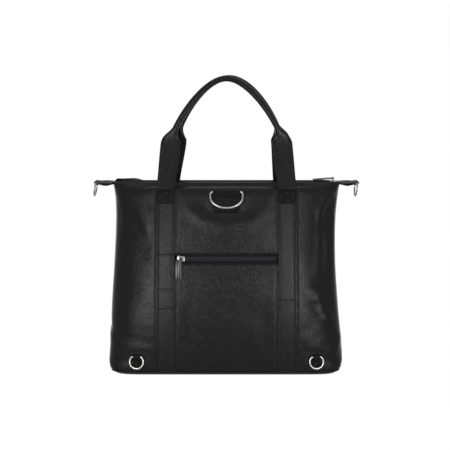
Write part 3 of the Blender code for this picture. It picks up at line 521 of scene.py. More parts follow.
# %% Fold lines
# Each fold: the side, the points of its line (x, height), half width, height, hollow beside it
FOLD_LINES = [
    (BACK, [(0.196, 0.322), (0.175, 0.303), (0.161, 0.280), (0.158, 0.240)], 0.0075, 0.0017, 0.9),
    (BACK, [(0.160, 0.262), (0.163, 0.215), (0.158, 0.160)], 0.0081, 0.0015, 0.9),
    (BACK, [(0.176, 0.300), (0.179, 0.250), (0.176, 0.190), (0.182, 0.140)], 0.0100, -0.0017, 0.3),
    (BACK, [(0.132, 0.149), (0.158, 0.143), (0.168, 0.111), (0.190, 0.084)], 0.0069, 0.0016, 0.9),
    (BACK, [(0.150, 0.132), (0.157, 0.112), (0.170, 0.096)], 0.0100, -0.0012, 0.0),
    (BACK, [(0.120, 0.076), (0.135, 0.060), (0.152, 0.048), (0.176, 0.043)], 0.0063, 0.0006, -0.9),
    (BACK, [(0.133, 0.100), (0.146, 0.074), (0.168, 0.058)], 0.0088, -0.0005, 0.0),
    (BACK, [(0.198, 0.070), (0.186, 0.046), (0.176, 0.024)], 0.0075, 0.0013, 0.6),
    (BACK, [(-0.196, 0.322), (-0.163, 0.293), (-0.137, 0.256), (-0.130, 0.220)], 0.0094, 0.0014, -0.8),
    (BACK, [(-0.190, 0.312), (-0.176, 0.277), (-0.172, 0.230)], 0.0075, 0.0012, -0.7),
    (BACK, [(-0.172, 0.240), (-0.164, 0.190), (-0.160, 0.140)], 0.0175, 0.0004, 0.5),
    (BACK, [(-0.200, 0.080), (-0.188, 0.060), (-0.174, 0.040)], 0.0075, 0.0010, 0.9),
    (BACK, [(-0.183, 0.066), (-0.161, 0.053), (-0.120, 0.045)], 0.0080, 0.0004, 0.8),
    (BACK, [(-0.150, 0.140), (-0.160, 0.110), (-0.163, 0.080)], 0.0150, 0.0003, 0.5),
    (BACK, [(-0.086, 0.302), (-0.036, 0.265), (0.000, 0.258), (0.044, 0.266), (0.080, 0.298)],
     0.0119, 0.0011, 0.8),
    (BACK, [(0.055, 0.130), (0.070, 0.075), (0.078, 0.030)], 0.0175, -0.0006, 0.4),
    (BACK, [(-0.066, 0.140), (-0.060, 0.080), (-0.072, 0.028)], 0.0187, -0.0006, 0.4),
    (FRONT, [(0.196, 0.322), (0.172, 0.298), (0.152, 0.262)], 0.0100, 0.0016, 0.8),
    (FRONT, [(-0.196, 0.322), (-0.172, 0.302), (-0.160, 0.270), (-0.164, 0.230)], 0.0100, 0.0017, -0.8),
    (FRONT, [(0.150, 0.110), (0.165, 0.080), (0.178, 0.045)], 0.0088, 0.0014, 0.7),
    (FRONT, [(-0.140, 0.100), (-0.156, 0.066), (-0.176, 0.046)], 0.0088, 0.0014, -0.7),
    (FRONT, [(-0.166, 0.190), (-0.158, 0.150), (-0.170, 0.115)], 0.0125, 0.0010, 0.5),
    (FRONT, [(0.165, 0.215), (0.158, 0.180), (0.163, 0.150)], 0.0125, 0.0009, 0.5),
    (FRONT, [(-0.060, 0.270), (0.010, 0.240), (0.070, 0.262)], 0.0225, -0.0011, 0.3),
    (FRONT, [(-0.050, 0.120), (0.000, 0.090), (0.060, 0.108)], 0.0250, -0.0009, 0.3),
]
FOLDS = [(side, [(run_at(x, z), z) for x, z in line], *rest) for side, line, *rest in FOLD_LINES]
print("folds:", len(FOLDS))

# %% Top corners, sides and top edge
# How far the top corners are drawn up, from which x on, and over what length
WINGS = {BACK: (0.0065, 0.150, 0.042), FRONT: (0.0105, 0.122, 0.042)}
WING_FOOT, WING_CLIMB = 0.275, 0.045
# The far corners end sooner, and the right one is drawn up less than the left
FAR_WING_END, FAR_WING_FADE, FAR_RIGHT_SHARE = 0.1995, 0.0085, 0.72
LEFT_LEAN, RIGHT_LEAN, RIGHT_FOOT_LEAN = 0.0038, 0.0024, 0.0034
LEAN_START, LEAN_LENGTH = 0.120, 0.075
TOP_ROLL, ROLL_BAND, ROLL_FADE, ROLL_END = 0.0022, 0.014, 0.014, 0.194


def beside_strip(side, run):
    """Distance from the nearer edge of the nearer strip, less than 0 under it."""
    return np.abs(np.abs(run) - STRIP_CENTRES[side]) - STRIP_WIDTH / 2


def wing_rise(side, x, z):
    """How far the top corners are drawn up to the ends of the zip."""
    rise, start, length = WINGS[side]
    if side == FRONT:
        end = smooth_step((FAR_WING_END - np.abs(x)) / FAR_WING_FADE)
        rise = np.where(x > 0, FAR_RIGHT_SHARE, 1.0) * end * rise
    return rise * smooth_step((np.abs(x) - start) / length) * smooth_step((z - WING_FOOT) / WING_CLIMB)


def lean(x, z):
    """How far the bag's sides lean to the left, as a loosely filled bag does."""
    waist = np.sin(math.pi * np.clip((z - 0.02) / 0.28, 0, 1))
    left = LEFT_LEAN * waist
    right = RIGHT_LEAN * waist + RIGHT_FOOT_LEAN * (1 - smooth_step(z / 0.060))
    return np.where(x < 0, left, right) * smooth_step((np.abs(x) - LEAN_START) / LEAN_LENGTH)


def top_roll(side, x, z):
    """How far the walls' top edges roll in, between the strips."""
    up = np.clip((z - WALL_HEIGHT + ROLL_BAND) / ROLL_BAND, 0, 1)
    off_strip = smooth_step((beside_strip(side, x) - 0.002) / ROLL_FADE)
    return TOP_ROLL * up ** 2 * off_strip * smooth_step((ROLL_END - np.abs(x)) / ROLL_FADE)


print("top corners are drawn up by", wing_rise(BACK, 0.195, WALL_HEIGHT).round(4), "m")

# %% Sag
LOW_RING_OFFSET, LOW_RING_HEIGHT = 0.153, 0.0345
# Places that stay true, so that rings and tabs sit right: side, run, height, radius
low_run = run_at(LOW_RING_OFFSET, LOW_RING_HEIGHT)
STILL = [(BACK, 0.0, 0.303, 0.036), (BACK, -low_run, 0.027, 0.018), (BACK, low_run, 0.027, 0.018)]
POCKET_HEIGHT, POCKET_WINDOW = 0.2015, 0.0165
SEAM_INSET, SEAM_GROOVE = 0.0033, 0.0004
# Below the top ring's tab its last stitches pull the wall in
TAB_HALF, TAB_FOOT, TAB_PULL = 0.0235, 0.2812, 0.0012
# The pocket zip bows out less than the wall would, so the wall dips to it
ZIP_BOW = 0.0024
ZIP_DIP = 0.0042 - ZIP_BOW


def sag(side, run, z):
    """How far the leather stands out of the plain shell."""
    out = np.zeros(np.broadcast(run, z).shape)
    run, z = np.broadcast_arrays(np.asarray(run, float), np.asarray(z, float))
    for where, line, width, height, shade in FOLDS:
        if where == side:
            out = out + fold(run, z, line, width, height, shade)
    waves = np.sin(run * 61 + z * 23 + side) * np.sin(z * 47 - run * 17 + 2.0 * side)
    out = out + 0.00025 * waves + 0.00008 * np.sin(run * 140 + z * 90) * np.sin(z * 120 - run * 60)
    from_strip = beside_strip(side, run)
    pucker = np.exp(-(np.clip(from_strip, 0, None) / 0.012) ** 2) * np.sin(z * 2 * math.pi / 0.021)
    out = out + 0.00025 * pucker * (from_strip > 0)
    foot = np.exp(-((z - SEAM_HEIGHT) / 0.012) ** 2) * np.sin(run * 2 * math.pi / 0.026)
    out = out + 0.0004 * foot
    rim = smooth_step((WALL_HEIGHT - z) / 0.022) * smooth_step((z - SEAM_HEIGHT) / 0.010)
    on_strip = smooth_step((from_strip - 0.004) / 0.016)
    out = out * rim * (0.25 + 0.75 * on_strip)
    out = out - SEAM_GROOVE * np.exp(-((from_strip - SEAM_INSET) / 0.0012) ** 2)
    seam = smooth_step((RUN_END - np.abs(run)) / 0.026)
    out = out * (0.15 + 0.85 * seam)
    for where, middle, height, radius in STILL:
        if where == side:
            away = np.hypot(run - middle, z - height)
            out = out * smooth_step((away - radius * 0.55) / (radius * 0.6))
    if side == BACK:
        inside = smooth_step((STRIP_CENTRES[BACK] - np.abs(run)) / 0.01)
        off_zip = np.abs(z - POCKET_HEIGHT) - POCKET_WINDOW / 2
        out = out * (1 - inside * (1 - smooth_step((off_zip - 0.008) / 0.022)))
        across = np.minimum(np.abs(run), STRIP_CENTRES[BACK])
        bulge = half_depth(POCKET_HEIGHT) + shell(BACK, across, POCKET_HEIGHT)[..., 1]
        dip = np.clip(ZIP_DIP - bulge, 0.0, None)
        out = out - dip * np.exp(-(np.clip(off_zip, 0, None) / 0.026) ** 2) * inside
        beside_tab = smooth_step((TAB_HALF - np.abs(run)) / 0.002)
        out = out - TAB_PULL * beside_tab * np.exp(-((z - TAB_FOOT) / 0.0014) ** 2)
    return out


def skin(side, run, z):
    """Points of the creased leather's outer face."""
    plain = shell(side, run, z)
    out = normals_of(shell, side, run, z) * sag(side, run, z)[..., None]
    up = wing_rise(side, plain[..., 0], plain[..., 2])
    aside = lean(plain[..., 0], plain[..., 2])
    back = side * top_roll(side, plain[..., 0], plain[..., 2])
    return plain + out + np.stack([-aside, -back, up], axis=-1)


def lifted(side, run, z, height):
    """Points at a height over the creased leather."""
    return skin(side, run, z) + normals_of(skin, side, run, z) * np.asarray(height)[..., None]


sample = sag(BACK, *np.meshgrid(np.linspace(-0.2, 0.2, 80), np.linspace(0.02, 0.3, 60)))
print("folds stand out by", round(sample.max() * 1000, 1), "mm")
print("folds sink in by", round(-sample.min() * 1000, 1), "mm")

# %% [markdown]
# ## Sewn leather pieces
#
# Every leather piece is a sheet with a thickness. We make it from two grids of points, an outer and an
# inner one, joined round the rim. Cut edges are never square on a bag like this: they are turned under
# or pressed round, so the outer grid dips to the inner one over the last millimetre or two.


# %% Helpers for sewn pieces
def keep(item, body, slot, *nodes):
    """Let a piece ride on a body and stand for CAD nodes, which it hides. The slot is not used."""
    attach(item, body)
    if nodes:
        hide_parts(*nodes)
    return item


def mesh_object(name, points, faces, finish, sharp=50.0):
    """A smooth mesh with its normals out, and sharp edges where faces meet at more than an angle."""
    mesh = bpy.data.meshes.new(name)
    mesh.from_pydata(np.asarray(points).reshape(-1, 3).tolist(), [], [list(face) for face in faces])
    work = bmesh.new()
    work.from_mesh(mesh)
    bmesh.ops.recalc_face_normals(work, faces=work.faces)
    work.to_mesh(mesh)
    work.free()
    mesh.materials.append(finish)
    mesh.shade_smooth()
    mesh.set_sharp_from_angle(angle=math.radians(sharp))
    item = bpy.data.objects.new(name, mesh)
    bpy.context.scene.collection.objects.link(item)
    return item


def grid_faces(rows, columns, closed=False):
    """Quads between the points of a grid, whose rows may be shut into rings."""
    index = np.arange(rows * columns).reshape(rows, columns)
    if closed:
        index = np.concatenate([index, index[:, :1]], axis=1)
    quads = [index[:-1, :-1], index[:-1, 1:], index[1:, 1:], index[1:, :-1]]
    return np.stack(quads, axis=-1).reshape(-1, 4)


def sheet_solid(name, outer, inner, finish):
    """Closed piece between an outer and an inner grid of points."""
    rows, columns = outer.shape[:2]
    count = rows * columns
    index = np.arange(count).reshape(rows, columns)
    rim = np.concatenate([index[0], index[1:, -1], index[-1, -2::-1], index[-2:0:-1, 0]])
    after = np.roll(rim, -1)
    skin_faces = grid_faces(rows, columns)
    sides = np.stack([rim, after, after + count, rim + count], axis=-1)
    faces = np.concatenate([skin_faces, skin_faces[:, ::-1] + count, sides])
    return mesh_object(name, np.concatenate([outer.reshape(-1, 3), inner.reshape(-1, 3)]), faces, finish)


def tube_solid(name, rings, finish, closed=False):
    """Skin through rings of points: shut into a loop, or with a flat cap on both ends."""
    rings = np.asarray(rings)
    rows, columns = rings.shape[:2]
    faces = list(grid_faces(rows + closed, columns, True) % (rows * columns))
    if not closed:
        faces += [range(columns)[::-1], range((rows - 1) * columns, rows * columns)]
    return mesh_object(name, rings, faces, finish)


def edge_steps(first, last, pitch, edge):
    """Places from first to last, with a few more close to both ends for the turned edge."""
    near = edge * np.array([0.0, 0.12, 0.35, 0.65])
    middle = np.linspace(first + edge, last - edge, max(2, round((last - first - 2 * edge) / pitch) + 1))
    return np.concatenate([first + near, middle, (last - near)[::-1]])


def turned(distance, edge):
    """Height of a turned edge as a share of the thickness, from the distance to the cut."""
    share = np.clip(distance / edge, 0, 1)
    return 0.3 + 0.7 * np.sqrt(1 - (1 - share) ** 2)


def from_rim(us, vs):
    """Distance of every grid place from the nearest end of its row or column."""
    across = np.minimum(us - us[0], us[-1] - us)
    up = np.minimum(vs - vs[0], vs[-1] - vs)
    return np.minimum(across[None, :], up[:, None])


def laid_on(name, side, runs, heights, low, thick, edge, finish, relief=None):
    """A leather piece laid on the bag's face, with turned edges and an optional relief on top."""
    run, z = np.meshgrid(runs, heights)
    top = low + thick * turned(from_rim(runs, heights), edge)
    if relief is not None:
        top = top + relief(run, z)
    outer, inner = lifted(side, run, z, top), lifted(side, run, z, np.full_like(run, low))
    return sheet_solid(name, outer, inner, finish)


print("a turned edge starts at", turned(0.0, 0.001), "of the thickness")

# %% [markdown]
# ## Stitching
#
# Bonded black thread, about 0.8 mm thick, in stitches of 4 mm. Each stitch is a short bent tube that
# dives into the leather at both ends. A line of them is one mesh, laid along points on the surface.

# %% Stitches
STITCH, STITCH_GAP, THREAD_RADIUS, THREAD_SIDES = 0.0032, 0.0008, 0.00038, 6
# A stitch from end to end: share of its length, rise and girth in radii of the thread
STITCH_SHAPE = [(0.06, -0.9, 0.6), (0.2, 0.35, 1.0), (0.5, 0.7, 1.05), (0.8, 0.35, 1.0),
                (0.94, -0.9, 0.6)]
stitch_count = 0


def lengths_along(points):
    """Distance of each point of a bent line from its start."""
    return np.concatenate([[0.0], np.cumsum(np.linalg.norm(np.diff(points, axis=0), axis=1))])


def loft_faces(base, rings, sides):
    """Faces through rings of points, the first of them at a given index, with a cap on both ends."""
    faces = []
    for ring in range(rings - 1):
        for turn in range(sides):
            a, b = base + ring * sides + turn, base + ring * sides + (turn + 1) % sides
            faces.append((a, b, b + sides, a + sides))
    last = base + (rings - 1) * sides
    return faces + [range(base, base + sides), range(last, last + sides)]


def stitches(name, points, normals, body):
    """One line of stitches along a row of points, each with the normal of the leather there."""
    global stitch_count
    points, normals = np.asarray(points, float), np.asarray(normals, float)
    runs = lengths_along(points)
    count = max(1, int(runs[-1] / (STITCH + STITCH_GAP)))
    pitch = runs[-1] / count
    spots, faces = [], []
    for number in range(count):
        faces += loft_faces(len(spots), len(STITCH_SHAPE), THREAD_SIDES)
        for share, rise, girth in STITCH_SHAPE:
            at = (number + share) * pitch
            centre = np.array([np.interp(at, runs, points[:, axis]) for axis in range(3)])
            up = np.array([np.interp(at, runs, normals[:, axis]) for axis in range(3)])
            up /= np.linalg.norm(up)
            index = min(np.searchsorted(runs, at, side="right"), len(points) - 1) - 1
            along = points[index + 1] - points[index]
            across = np.cross(along / np.linalg.norm(along), up)
            for turn in range(THREAD_SIDES):
                angle = math.tau * turn / THREAD_SIDES
                offset = across * math.cos(angle) + up * (math.sin(angle) + rise)
                spots.append(centre + offset * THREAD_RADIUS * girth)
    stitch_count += count
    return keep(mesh_object(name, spots, faces, thread), body, "leather")


def face_stitches(name, side, line, height):
    """Stitches on the bag's face along a bent line of (run, height) places."""
    places = []
    for (a, b), (c, d) in zip(line, line[1:]):
        count = max(2, round(math.dist((a, b), (c, d)) / 0.002))
        for index in range(count):
            places.append((a + (c - a) * index / count, b + (d - b) * index / count))
    places.append(line[-1])
    run, z = np.array(places).T
    out = normals_of(skin, side, run, z)
    return stitches(name, skin(side, run, z) + out * height, out, "bag")


print("stitch:", STITCH * 1000, "mm of", THREAD_RADIUS * 2000, "mm thread")

# %% [markdown]
# ## Wall panels
#
# The back wall is three panels, joined under the strips: the middle one is cut across by the pocket
# zip, and the side ones wrap round to the side seams, where they meet the front ones. A bag is one
# sagging shell, so all of them are cut from the same creased surface.

# %% Wall panels
PANEL_PITCH = 0.003
PANEL_EDGE = 0.0012


def with_lines(values, lines, reach=0.0018):
    """Add grid places close to each line, so that a groove there has points to follow."""
    extra = [line + offset for line in lines for offset in np.linspace(-reach, reach, 7)]
    extra = [place for place in extra if values[0] < place < values[-1]]
    merged = np.sort(np.concatenate([values, extra]))
    return merged[np.concatenate([[True], np.diff(merged) > 0.0002])]


def seam_lines(side):
    """Runs of the stitched lines beside the strips of a face."""
    reach = STRIP_WIDTH / 2 + SEAM_INSET
    return [hand * (STRIP_CENTRES[side] + way * reach) for hand in (-1, 1) for way in (-1, 1)]


FOOT = SEAM_HEIGHT + GAP / 2
SEAM_RUN = RUN_END - 0.0004
WINDOW_LOW = POCKET_HEIGHT - POCKET_WINDOW / 2
WINDOW_HIGH = POCKET_HEIGHT + POCKET_WINDOW / 2


def wall_panel(name, side, first, last, low, high):
    """A panel of a wall, from one run to another and from one height to another."""
    runs = with_lines(edge_steps(first, last, PANEL_PITCH, PANEL_EDGE), seam_lines(side))
    heights = with_lines(edge_steps(low, high, PANEL_PITCH, PANEL_EDGE), [TAB_FOOT])
    item = laid_on(name + "_leather", side, runs, heights, -LEATHER, LEATHER, PANEL_EDGE, leather)
    return keep(item, "bag", "leather", name)


middle = {side: centre - GAP / 2 for side, centre in STRIP_CENTRES.items()}
wall_panel("back_lower_panel", BACK, -middle[BACK], middle[BACK], FOOT, WINDOW_LOW)
wall_panel("back_upper_panel", BACK, -middle[BACK], middle[BACK], WINDOW_HIGH, WALL_HEIGHT)
wall_panel("front_panel", FRONT, -middle[FRONT], middle[FRONT], FOOT, WALL_HEIGHT)
for side, face in FACES:
    wall_panel(face + "_left_side_panel", side, -SEAM_RUN, -middle[side] - GAP, FOOT, WALL_HEIGHT)
    wall_panel(face + "_right_side_panel", side, middle[side] + GAP, SEAM_RUN, FOOT, WALL_HEIGHT)
print("wall panels: 7")

# %% Seam stitches
SEAM_FOOT, SEAM_TOP = 0.013, WALL_HEIGHT - 0.004
SIDE_SEAM_FOOT, SIDE_SEAM_INSET = 0.030, 0.005
WINDOW_STITCH = 0.0028
under_window, over_window = WINDOW_LOW - WINDOW_STITCH, WINDOW_HIGH + WINDOW_STITCH
for side, face in FACES:
    for number, line in enumerate(seam_lines(side)):
        spans = [(SEAM_FOOT, SEAM_TOP)]
        if side == BACK and abs(line) < STRIP_CENTRES[BACK]:
            spans = [(SEAM_FOOT, under_window), (over_window, SEAM_TOP)]
        for part, (low, high) in enumerate(spans):
            face_stitches(f"{face}_seam_stitches_{number}_{part}", side, [(line, low), (line, high)],
                          -SEAM_GROOVE)
    for hand, where in HANDS:
        run = hand * (SEAM_RUN - SIDE_SEAM_INSET)
        face_stitches(f"{face}_{where}_side_seam_stitches", side,
                      [(run, SIDE_SEAM_FOOT), (run, SEAM_TOP)], 0.0)
window_end = STRIP_CENTRES[BACK] - STRIP_WIDTH / 2 - SEAM_INSET
for name, height in (("lower", under_window), ("upper", over_window)):
    ends = [(-window_end, height), (window_end, height)]
    face_stitches(f"pocket_window_{name}_stitches", BACK, ends, 0.0)
print("stitches so far:", stitch_count)

# %% [markdown]
# ## Base
#
# The base is one panel that turns up to a seam just above the floor, with a narrow welt in the seam.
# Its rings follow the bag's outline, from the middle of the inside over the rim to the underside.

# %% Base and welt
BASE_POINTS, WELT_POINTS, WELT_SIDES = 176, 240, 10
WELT_RADIUS, WELT_PROUD = 0.0011, 0.0002
BASE_STITCH_HEIGHT, BASE_STITCH_END = 0.0125, 0.225
# Shares of the outline at which the flat floor has rings
FLOOR_SHARES = (0.03, 0.35, 0.7, 0.95)
UP = np.array((0.0, 0.0, 1.0))


def signed_power(values, power):
    """Powers that keep their sign, which square off a round outline."""
    return np.sign(values) * np.abs(values) ** power


def outline_ring(z, level, inset, points=BASE_POINTS, share=1.0):
    """The bag's outline at a height, drawn in by an inset, shrunk to a share and laid at a level."""
    angle = (np.arange(points) + 0.5) / points * math.tau
    z = np.full(points, float(z))
    width, depth, power = half_width(z) - inset, half_depth(z) - inset, squareness(z)
    x = width * signed_power(np.cos(angle), 2 / power)
    y = depth * signed_power(np.sin(angle), 2 / power)
    x = x - lean(x, z)
    return np.stack([x * share, y * share, np.full(points, level)], axis=-1)


def round_rod(path, aside, over, radius, sides):
    """Rings of a round rod along a path, from the way aside at each place and the way over it."""
    turns = np.arange(sides)[:, None] / sides * math.tau
    return [place + (way * np.cos(turns) + over * np.sin(turns)) * radius
            for place, way in zip(path, aside)]


rim = SEAM_HEIGHT - GAP / 2
rings = [outline_ring(LEATHER, LEATHER, LEATHER, share=s) for s in FLOOR_SHARES]
rings += [outline_ring(z, z, LEATHER) for z in np.linspace(LEATHER, rim, 6)]
rings += [outline_ring(z, z, 0.0) for z in rim * (1 - np.linspace(0.0, 1.0, 10) ** 1.5)]
rings += [outline_ring(0.0, 0.0, 0.0, share=s) for s in FLOOR_SHARES[::-1]]
keep(tube_solid("base_panel_leather", rings, leather), "bag", "leather", "base_panel")

path = outline_ring(SEAM_HEIGHT, SEAM_HEIGHT, -WELT_PROUD, WELT_POINTS)
along = np.roll(path, -1, axis=0) - np.roll(path, 1, axis=0)
out = np.cross(along / np.linalg.norm(along, axis=1, keepdims=True), UP)
welt = round_rod(path, out, UP, WELT_RADIUS, WELT_SIDES)
keep(tube_solid("base_welt", welt, strap_leather, closed=True), "bag", "leather")
for side, face in FACES:
    ends = [(-BASE_STITCH_END, BASE_STITCH_HEIGHT), (BASE_STITCH_END, BASE_STITCH_HEIGHT)]
    face_stitches(face + "_base_seam_stitches", side, ends, 0.0001)
print("base:", len(rings), "rings")

# %% [markdown]
# ## Strips
#
# Four flat strips cover the seams between the panels and carry the handles. Their edges are turned
# under and sewn down 3 mm in, so the thread pulls a shallow groove along both sides.

# %% Strips
STRIP_EDGE = 0.0016
STITCH_INSET, STRIP_STITCH_FOOT = 0.0030, 0.012
HINGE_HEIGHT = WALL_HEIGHT - 0.003
ANCHOR_LENGTH = 0.024
# Heights at which the strips of the back face have been creased
CREASES = {"left": (0.210, 0.149, 0.116), "right": (0.131,)}


def groove(distance, width=0.0009, depth=0.00035):
    """The dent that a thread or a crease presses into leather, by the distance from it."""
    return -depth * np.exp(-(distance / width) ** 2)


for side, face in FACES:
    for hand, where in HANDS:
        centre = hand * STRIP_CENTRES[side]
        left, right = centre - STRIP_WIDTH / 2, centre + STRIP_WIDTH / 2
        lines = [left + STITCH_INSET, right - STITCH_INSET]
        runs = with_lines(edge_steps(left, right, 0.003, STRIP_EDGE), lines)
        creases = CREASES[where] if side == BACK else ()
        heights = edge_steps(SEAM_HEIGHT + GAP, WALL_HEIGHT, 0.0035, STRIP_EDGE)
        heights = with_lines(heights, creases, 0.0036)
        name = f"{face}_{where}_strip"

        def pressed(run, z):
            bent = z + 0.0009 * np.sin(run * 330) + 0.0005 * np.sin(run * 900)
            return sum((groove(bent - crease, 0.0012, 0.0005) for crease in creases),
                       groove(run - lines[0]) + groove(run - lines[1]))

        item = laid_on(name + "_leather", side, runs, heights, GAP, STRIP, STRIP_EDGE, strip_leather,
                       pressed)
        keep(item, "bag", "leather", name)
        for number, line in enumerate(lines):
            ends = [(line, STRIP_STITCH_FOOT), (line, HINGE_HEIGHT - ANCHOR_LENGTH - 0.001)]
            face_stitches(f"{name}_stitches_{number}", side, ends, GAP + STRIP - 0.0003)
print("strips: 4, stitches so far:", stitch_count)

# %% [markdown]
# ## Handle ends
#
# Each strap's end is sewn to the strip with a box and a cross. The padding swells up between the
# threads, which is what makes the cross show from a distance.

# %% Handle ends with stitched boxes
STRAP = 0.0040
BOX_INSET = 0.0016
ANCHOR_LOW = HINGE_HEIGHT - ANCHOR_LENGTH
ANCHOR_BASE = GAP + STRIP + GAP
ANCHOR_PITCH, ANCHOR_EDGE = 0.0008, 0.002
# How deep and how wide the threads press into the padding
QUILT_DEPTH, QUILT_WIDTH = 0.0012, 0.0013


def box_and_cross(centre):
    """The threads of a strap's end: a frame and its two diagonals."""
    left, right = centre - STRIP_WIDTH / 2 + BOX_INSET, centre + STRIP_WIDTH / 2 - BOX_INSET
    low, high = ANCHOR_LOW + BOX_INSET, HINGE_HEIGHT - BOX_INSET
    frame_line = [(left, low), (right, low), (right, high), (left, high), (left, low)]
    return [frame_line, [(left, low), (right, high)], [(right, low), (left, high)]]


for side, face in FACES:
    for hand, where in HANDS:
        centre = hand * STRIP_CENTRES[side]
        lines = box_and_cross(centre)

        def quilting(run, z):
            near = np.min([along_line(run, z, line)[0] for line in lines], axis=0)
            return groove(near, QUILT_WIDTH, QUILT_DEPTH)

        runs = edge_steps(centre - STRIP_WIDTH / 2, centre + STRIP_WIDTH / 2, ANCHOR_PITCH, ANCHOR_EDGE)
        heights = edge_steps(ANCHOR_LOW, HINGE_HEIGHT - GAP, ANCHOR_PITCH, ANCHOR_EDGE)
        name = f"{face}_{where}_handle_anchor"
        item = laid_on(name + "_leather", side, runs, heights, ANCHOR_BASE, STRAP - 0.0006, ANCHOR_EDGE,
                       strap_leather, quilting)
        keep(item, "bag", "leather", name)
        for number, line in enumerate(lines):
            face_stitches(f"{name}_stitches_{number}", side, line, ANCHOR_BASE + STRAP - 0.0014)
print("stitched boxes: 4")

# %% [markdown]
# ## Handles
#
# A handle is one strap: flat where it leaves the bag, then folded round a cord into a grip. Its section
# is a C that is open on the inside, so we sweep that C along the handle's line and let it change from
# a flat strap to a round grip. Where it rolls up, its two edges fold back first, so the flat front
# narrows to a point.

# %% Handle shape
STRAP_LENGTH, ROLL_LENGTH = 0.081, 0.028
GRIP_RADIUS, HANDLE_RISE = 0.005, 0.185
SHOULDER_REACH = 0.025
# Each handle's own set: the straps' lean, the reach of the crown's curve, and the sway to one side
HANDLE_SETS = {BACK: (0.010, 0.040, 0.0), FRONT: (0.008, 0.045, -0.0040)}
WRAP, WRAP_SLIT = 0.0016, 0.0006
LEG_STEPS, ARCH_STEPS, SECTION_POINTS = 34, 56, 44


def handle_line(side):
    """The handle's middle line, as (x, rise) from one foot over the crown to the other."""
    strap_lean, crown_reach, sway = HANDLE_SETS[side]
    foot = np.array((STRIP_CENTRES[side], 0.0))
    shoulder = np.array((STRIP_CENTRES[side] - strap_lean, STRAP_LENGTH))
    crown = np.array((0.0, HANDLE_RISE))
    climb = (shoulder - foot) / np.linalg.norm(shoulder - foot)
    share = np.linspace(0, 1, ARCH_STEPS)[:, None]
    rest = 1 - share
    arch = (shoulder * rest ** 3 + (shoulder + climb * SHOULDER_REACH) * 3 * rest ** 2 * share
            + (crown + np.array((crown_reach, 0.0))) * 3 * rest * share ** 2 + crown * share ** 3)
    leg = foot + (shoulder - foot) * np.linspace(0, 1, LEG_STEPS, endpoint=False)[:, None]
    half = np.concatenate([leg, arch])
    whole = np.concatenate([half * (-1, 1), half[-2::-1]])
    whole[:, 0] += sway * smooth_step(whole[:, 1] / STRAP_LENGTH)
    return whole


def handle_section(from_end):
    """Half width, half thickness and squareness at a distance from the strap's end."""
    rolled = smooth_step((from_end - STRAP_LENGTH + 0.004) / ROLL_LENGTH)
    ear = smooth_step(from_end / STRAP_LENGTH)
    width = STRIP_WIDTH / 2 * (1 + 0.09 * ear) * (1 - rolled) + GRIP_RADIUS * rolled
    thick = STRAP / 2 * (1 - rolled) + GRIP_RADIUS * rolled
    return rolled, width, thick, 6.0 - 4.0 * rolled


def handle_loop(from_end):
    """The C of the section: out round the outside from the slit, and back round the inside."""
    rolled, width, thick, power = handle_section(from_end)
    front = (STRIP_WIDTH / 2 + 0.003) * (1 - smooth_step((from_end - 0.062) / 0.044)) + 0.0012
    fold_back = 0.0040 * smooth_step((from_end - 0.064) / 0.016) * (1 - smooth_step((rolled - 0.6) / 0.4))
    sides = []
    for w, t in ((width, thick), (width - WRAP, thick - WRAP)):
        slit = math.asin((WRAP_SLIT / 2 / w) ** (power / 2))
        angle = np.linspace(math.pi / 2 + slit, math.pi * 2.5 - slit, SECTION_POINTS)
        sideways = w * signed_power(np.cos(angle), 2 / power)
        through = t * signed_power(np.sin(angle), 2 / power)
        outside = smooth_step(0.5 - through / max(2 * t, 1e-6))
        through = through + fold_back * outside * smooth_step((np.abs(sideways) - front) / 0.0024)
        sides.append(np.stack([sideways, through], axis=-1))
    return np.concatenate([sides[0], sides[1][::-1]])


def handle_path(side):
    """Along a handle: its centres, the way across at each, and the distance from the nearer end."""
    line = handle_line(side)
    tangent = np.gradient(line, axis=0)
    tangent /= np.linalg.norm(tangent, axis=1, keepdims=True)
    upright = smooth_step(np.minimum(line[:, 1], 0.03) / 0.03)[:, None]
    tangent = tangent * upright + np.array((0.0, 1.0)) * np.sign(tangent[:, 1:]) * (1 - upright)
    tangent /= np.linalg.norm(tangent, axis=1, keepdims=True)
    across = np.stack([tangent[:, 1], -tangent[:, 0]], axis=-1)
    lengths = lengths_along(line)
    return line, across, np.minimum(lengths, lengths[-1] - lengths)


print("handle:", round(handle_path(BACK)[2].max() * 2000), "mm from end to end")

# %% Handles
CORD_RADIUS, CORD_LAY, CORD_POINTS, STRAND_DEPTH = 0.0031, 0.018, 36, 0.16
# Distance from the strap's end at which its stitches stop and it starts to be pulled tight
ROLL_START, PULL_LENGTH = 0.072, 0.026


def hinge_of(joint):
    """Where the CAD model has a joint's axis, in metres."""
    return Vector(next(j["pos_m"] for j in frame["joints"] if j["name"] == joint))


def handle_place(turn, hinge, centre, across, offset, through):
    """World point at an offset across and through the handle, at one of its centres."""
    x, rise = centre + across * offset
    return np.array((turn * x, hinge.y + turn * (GAP + STRAP / 2 + through), hinge.z + rise))


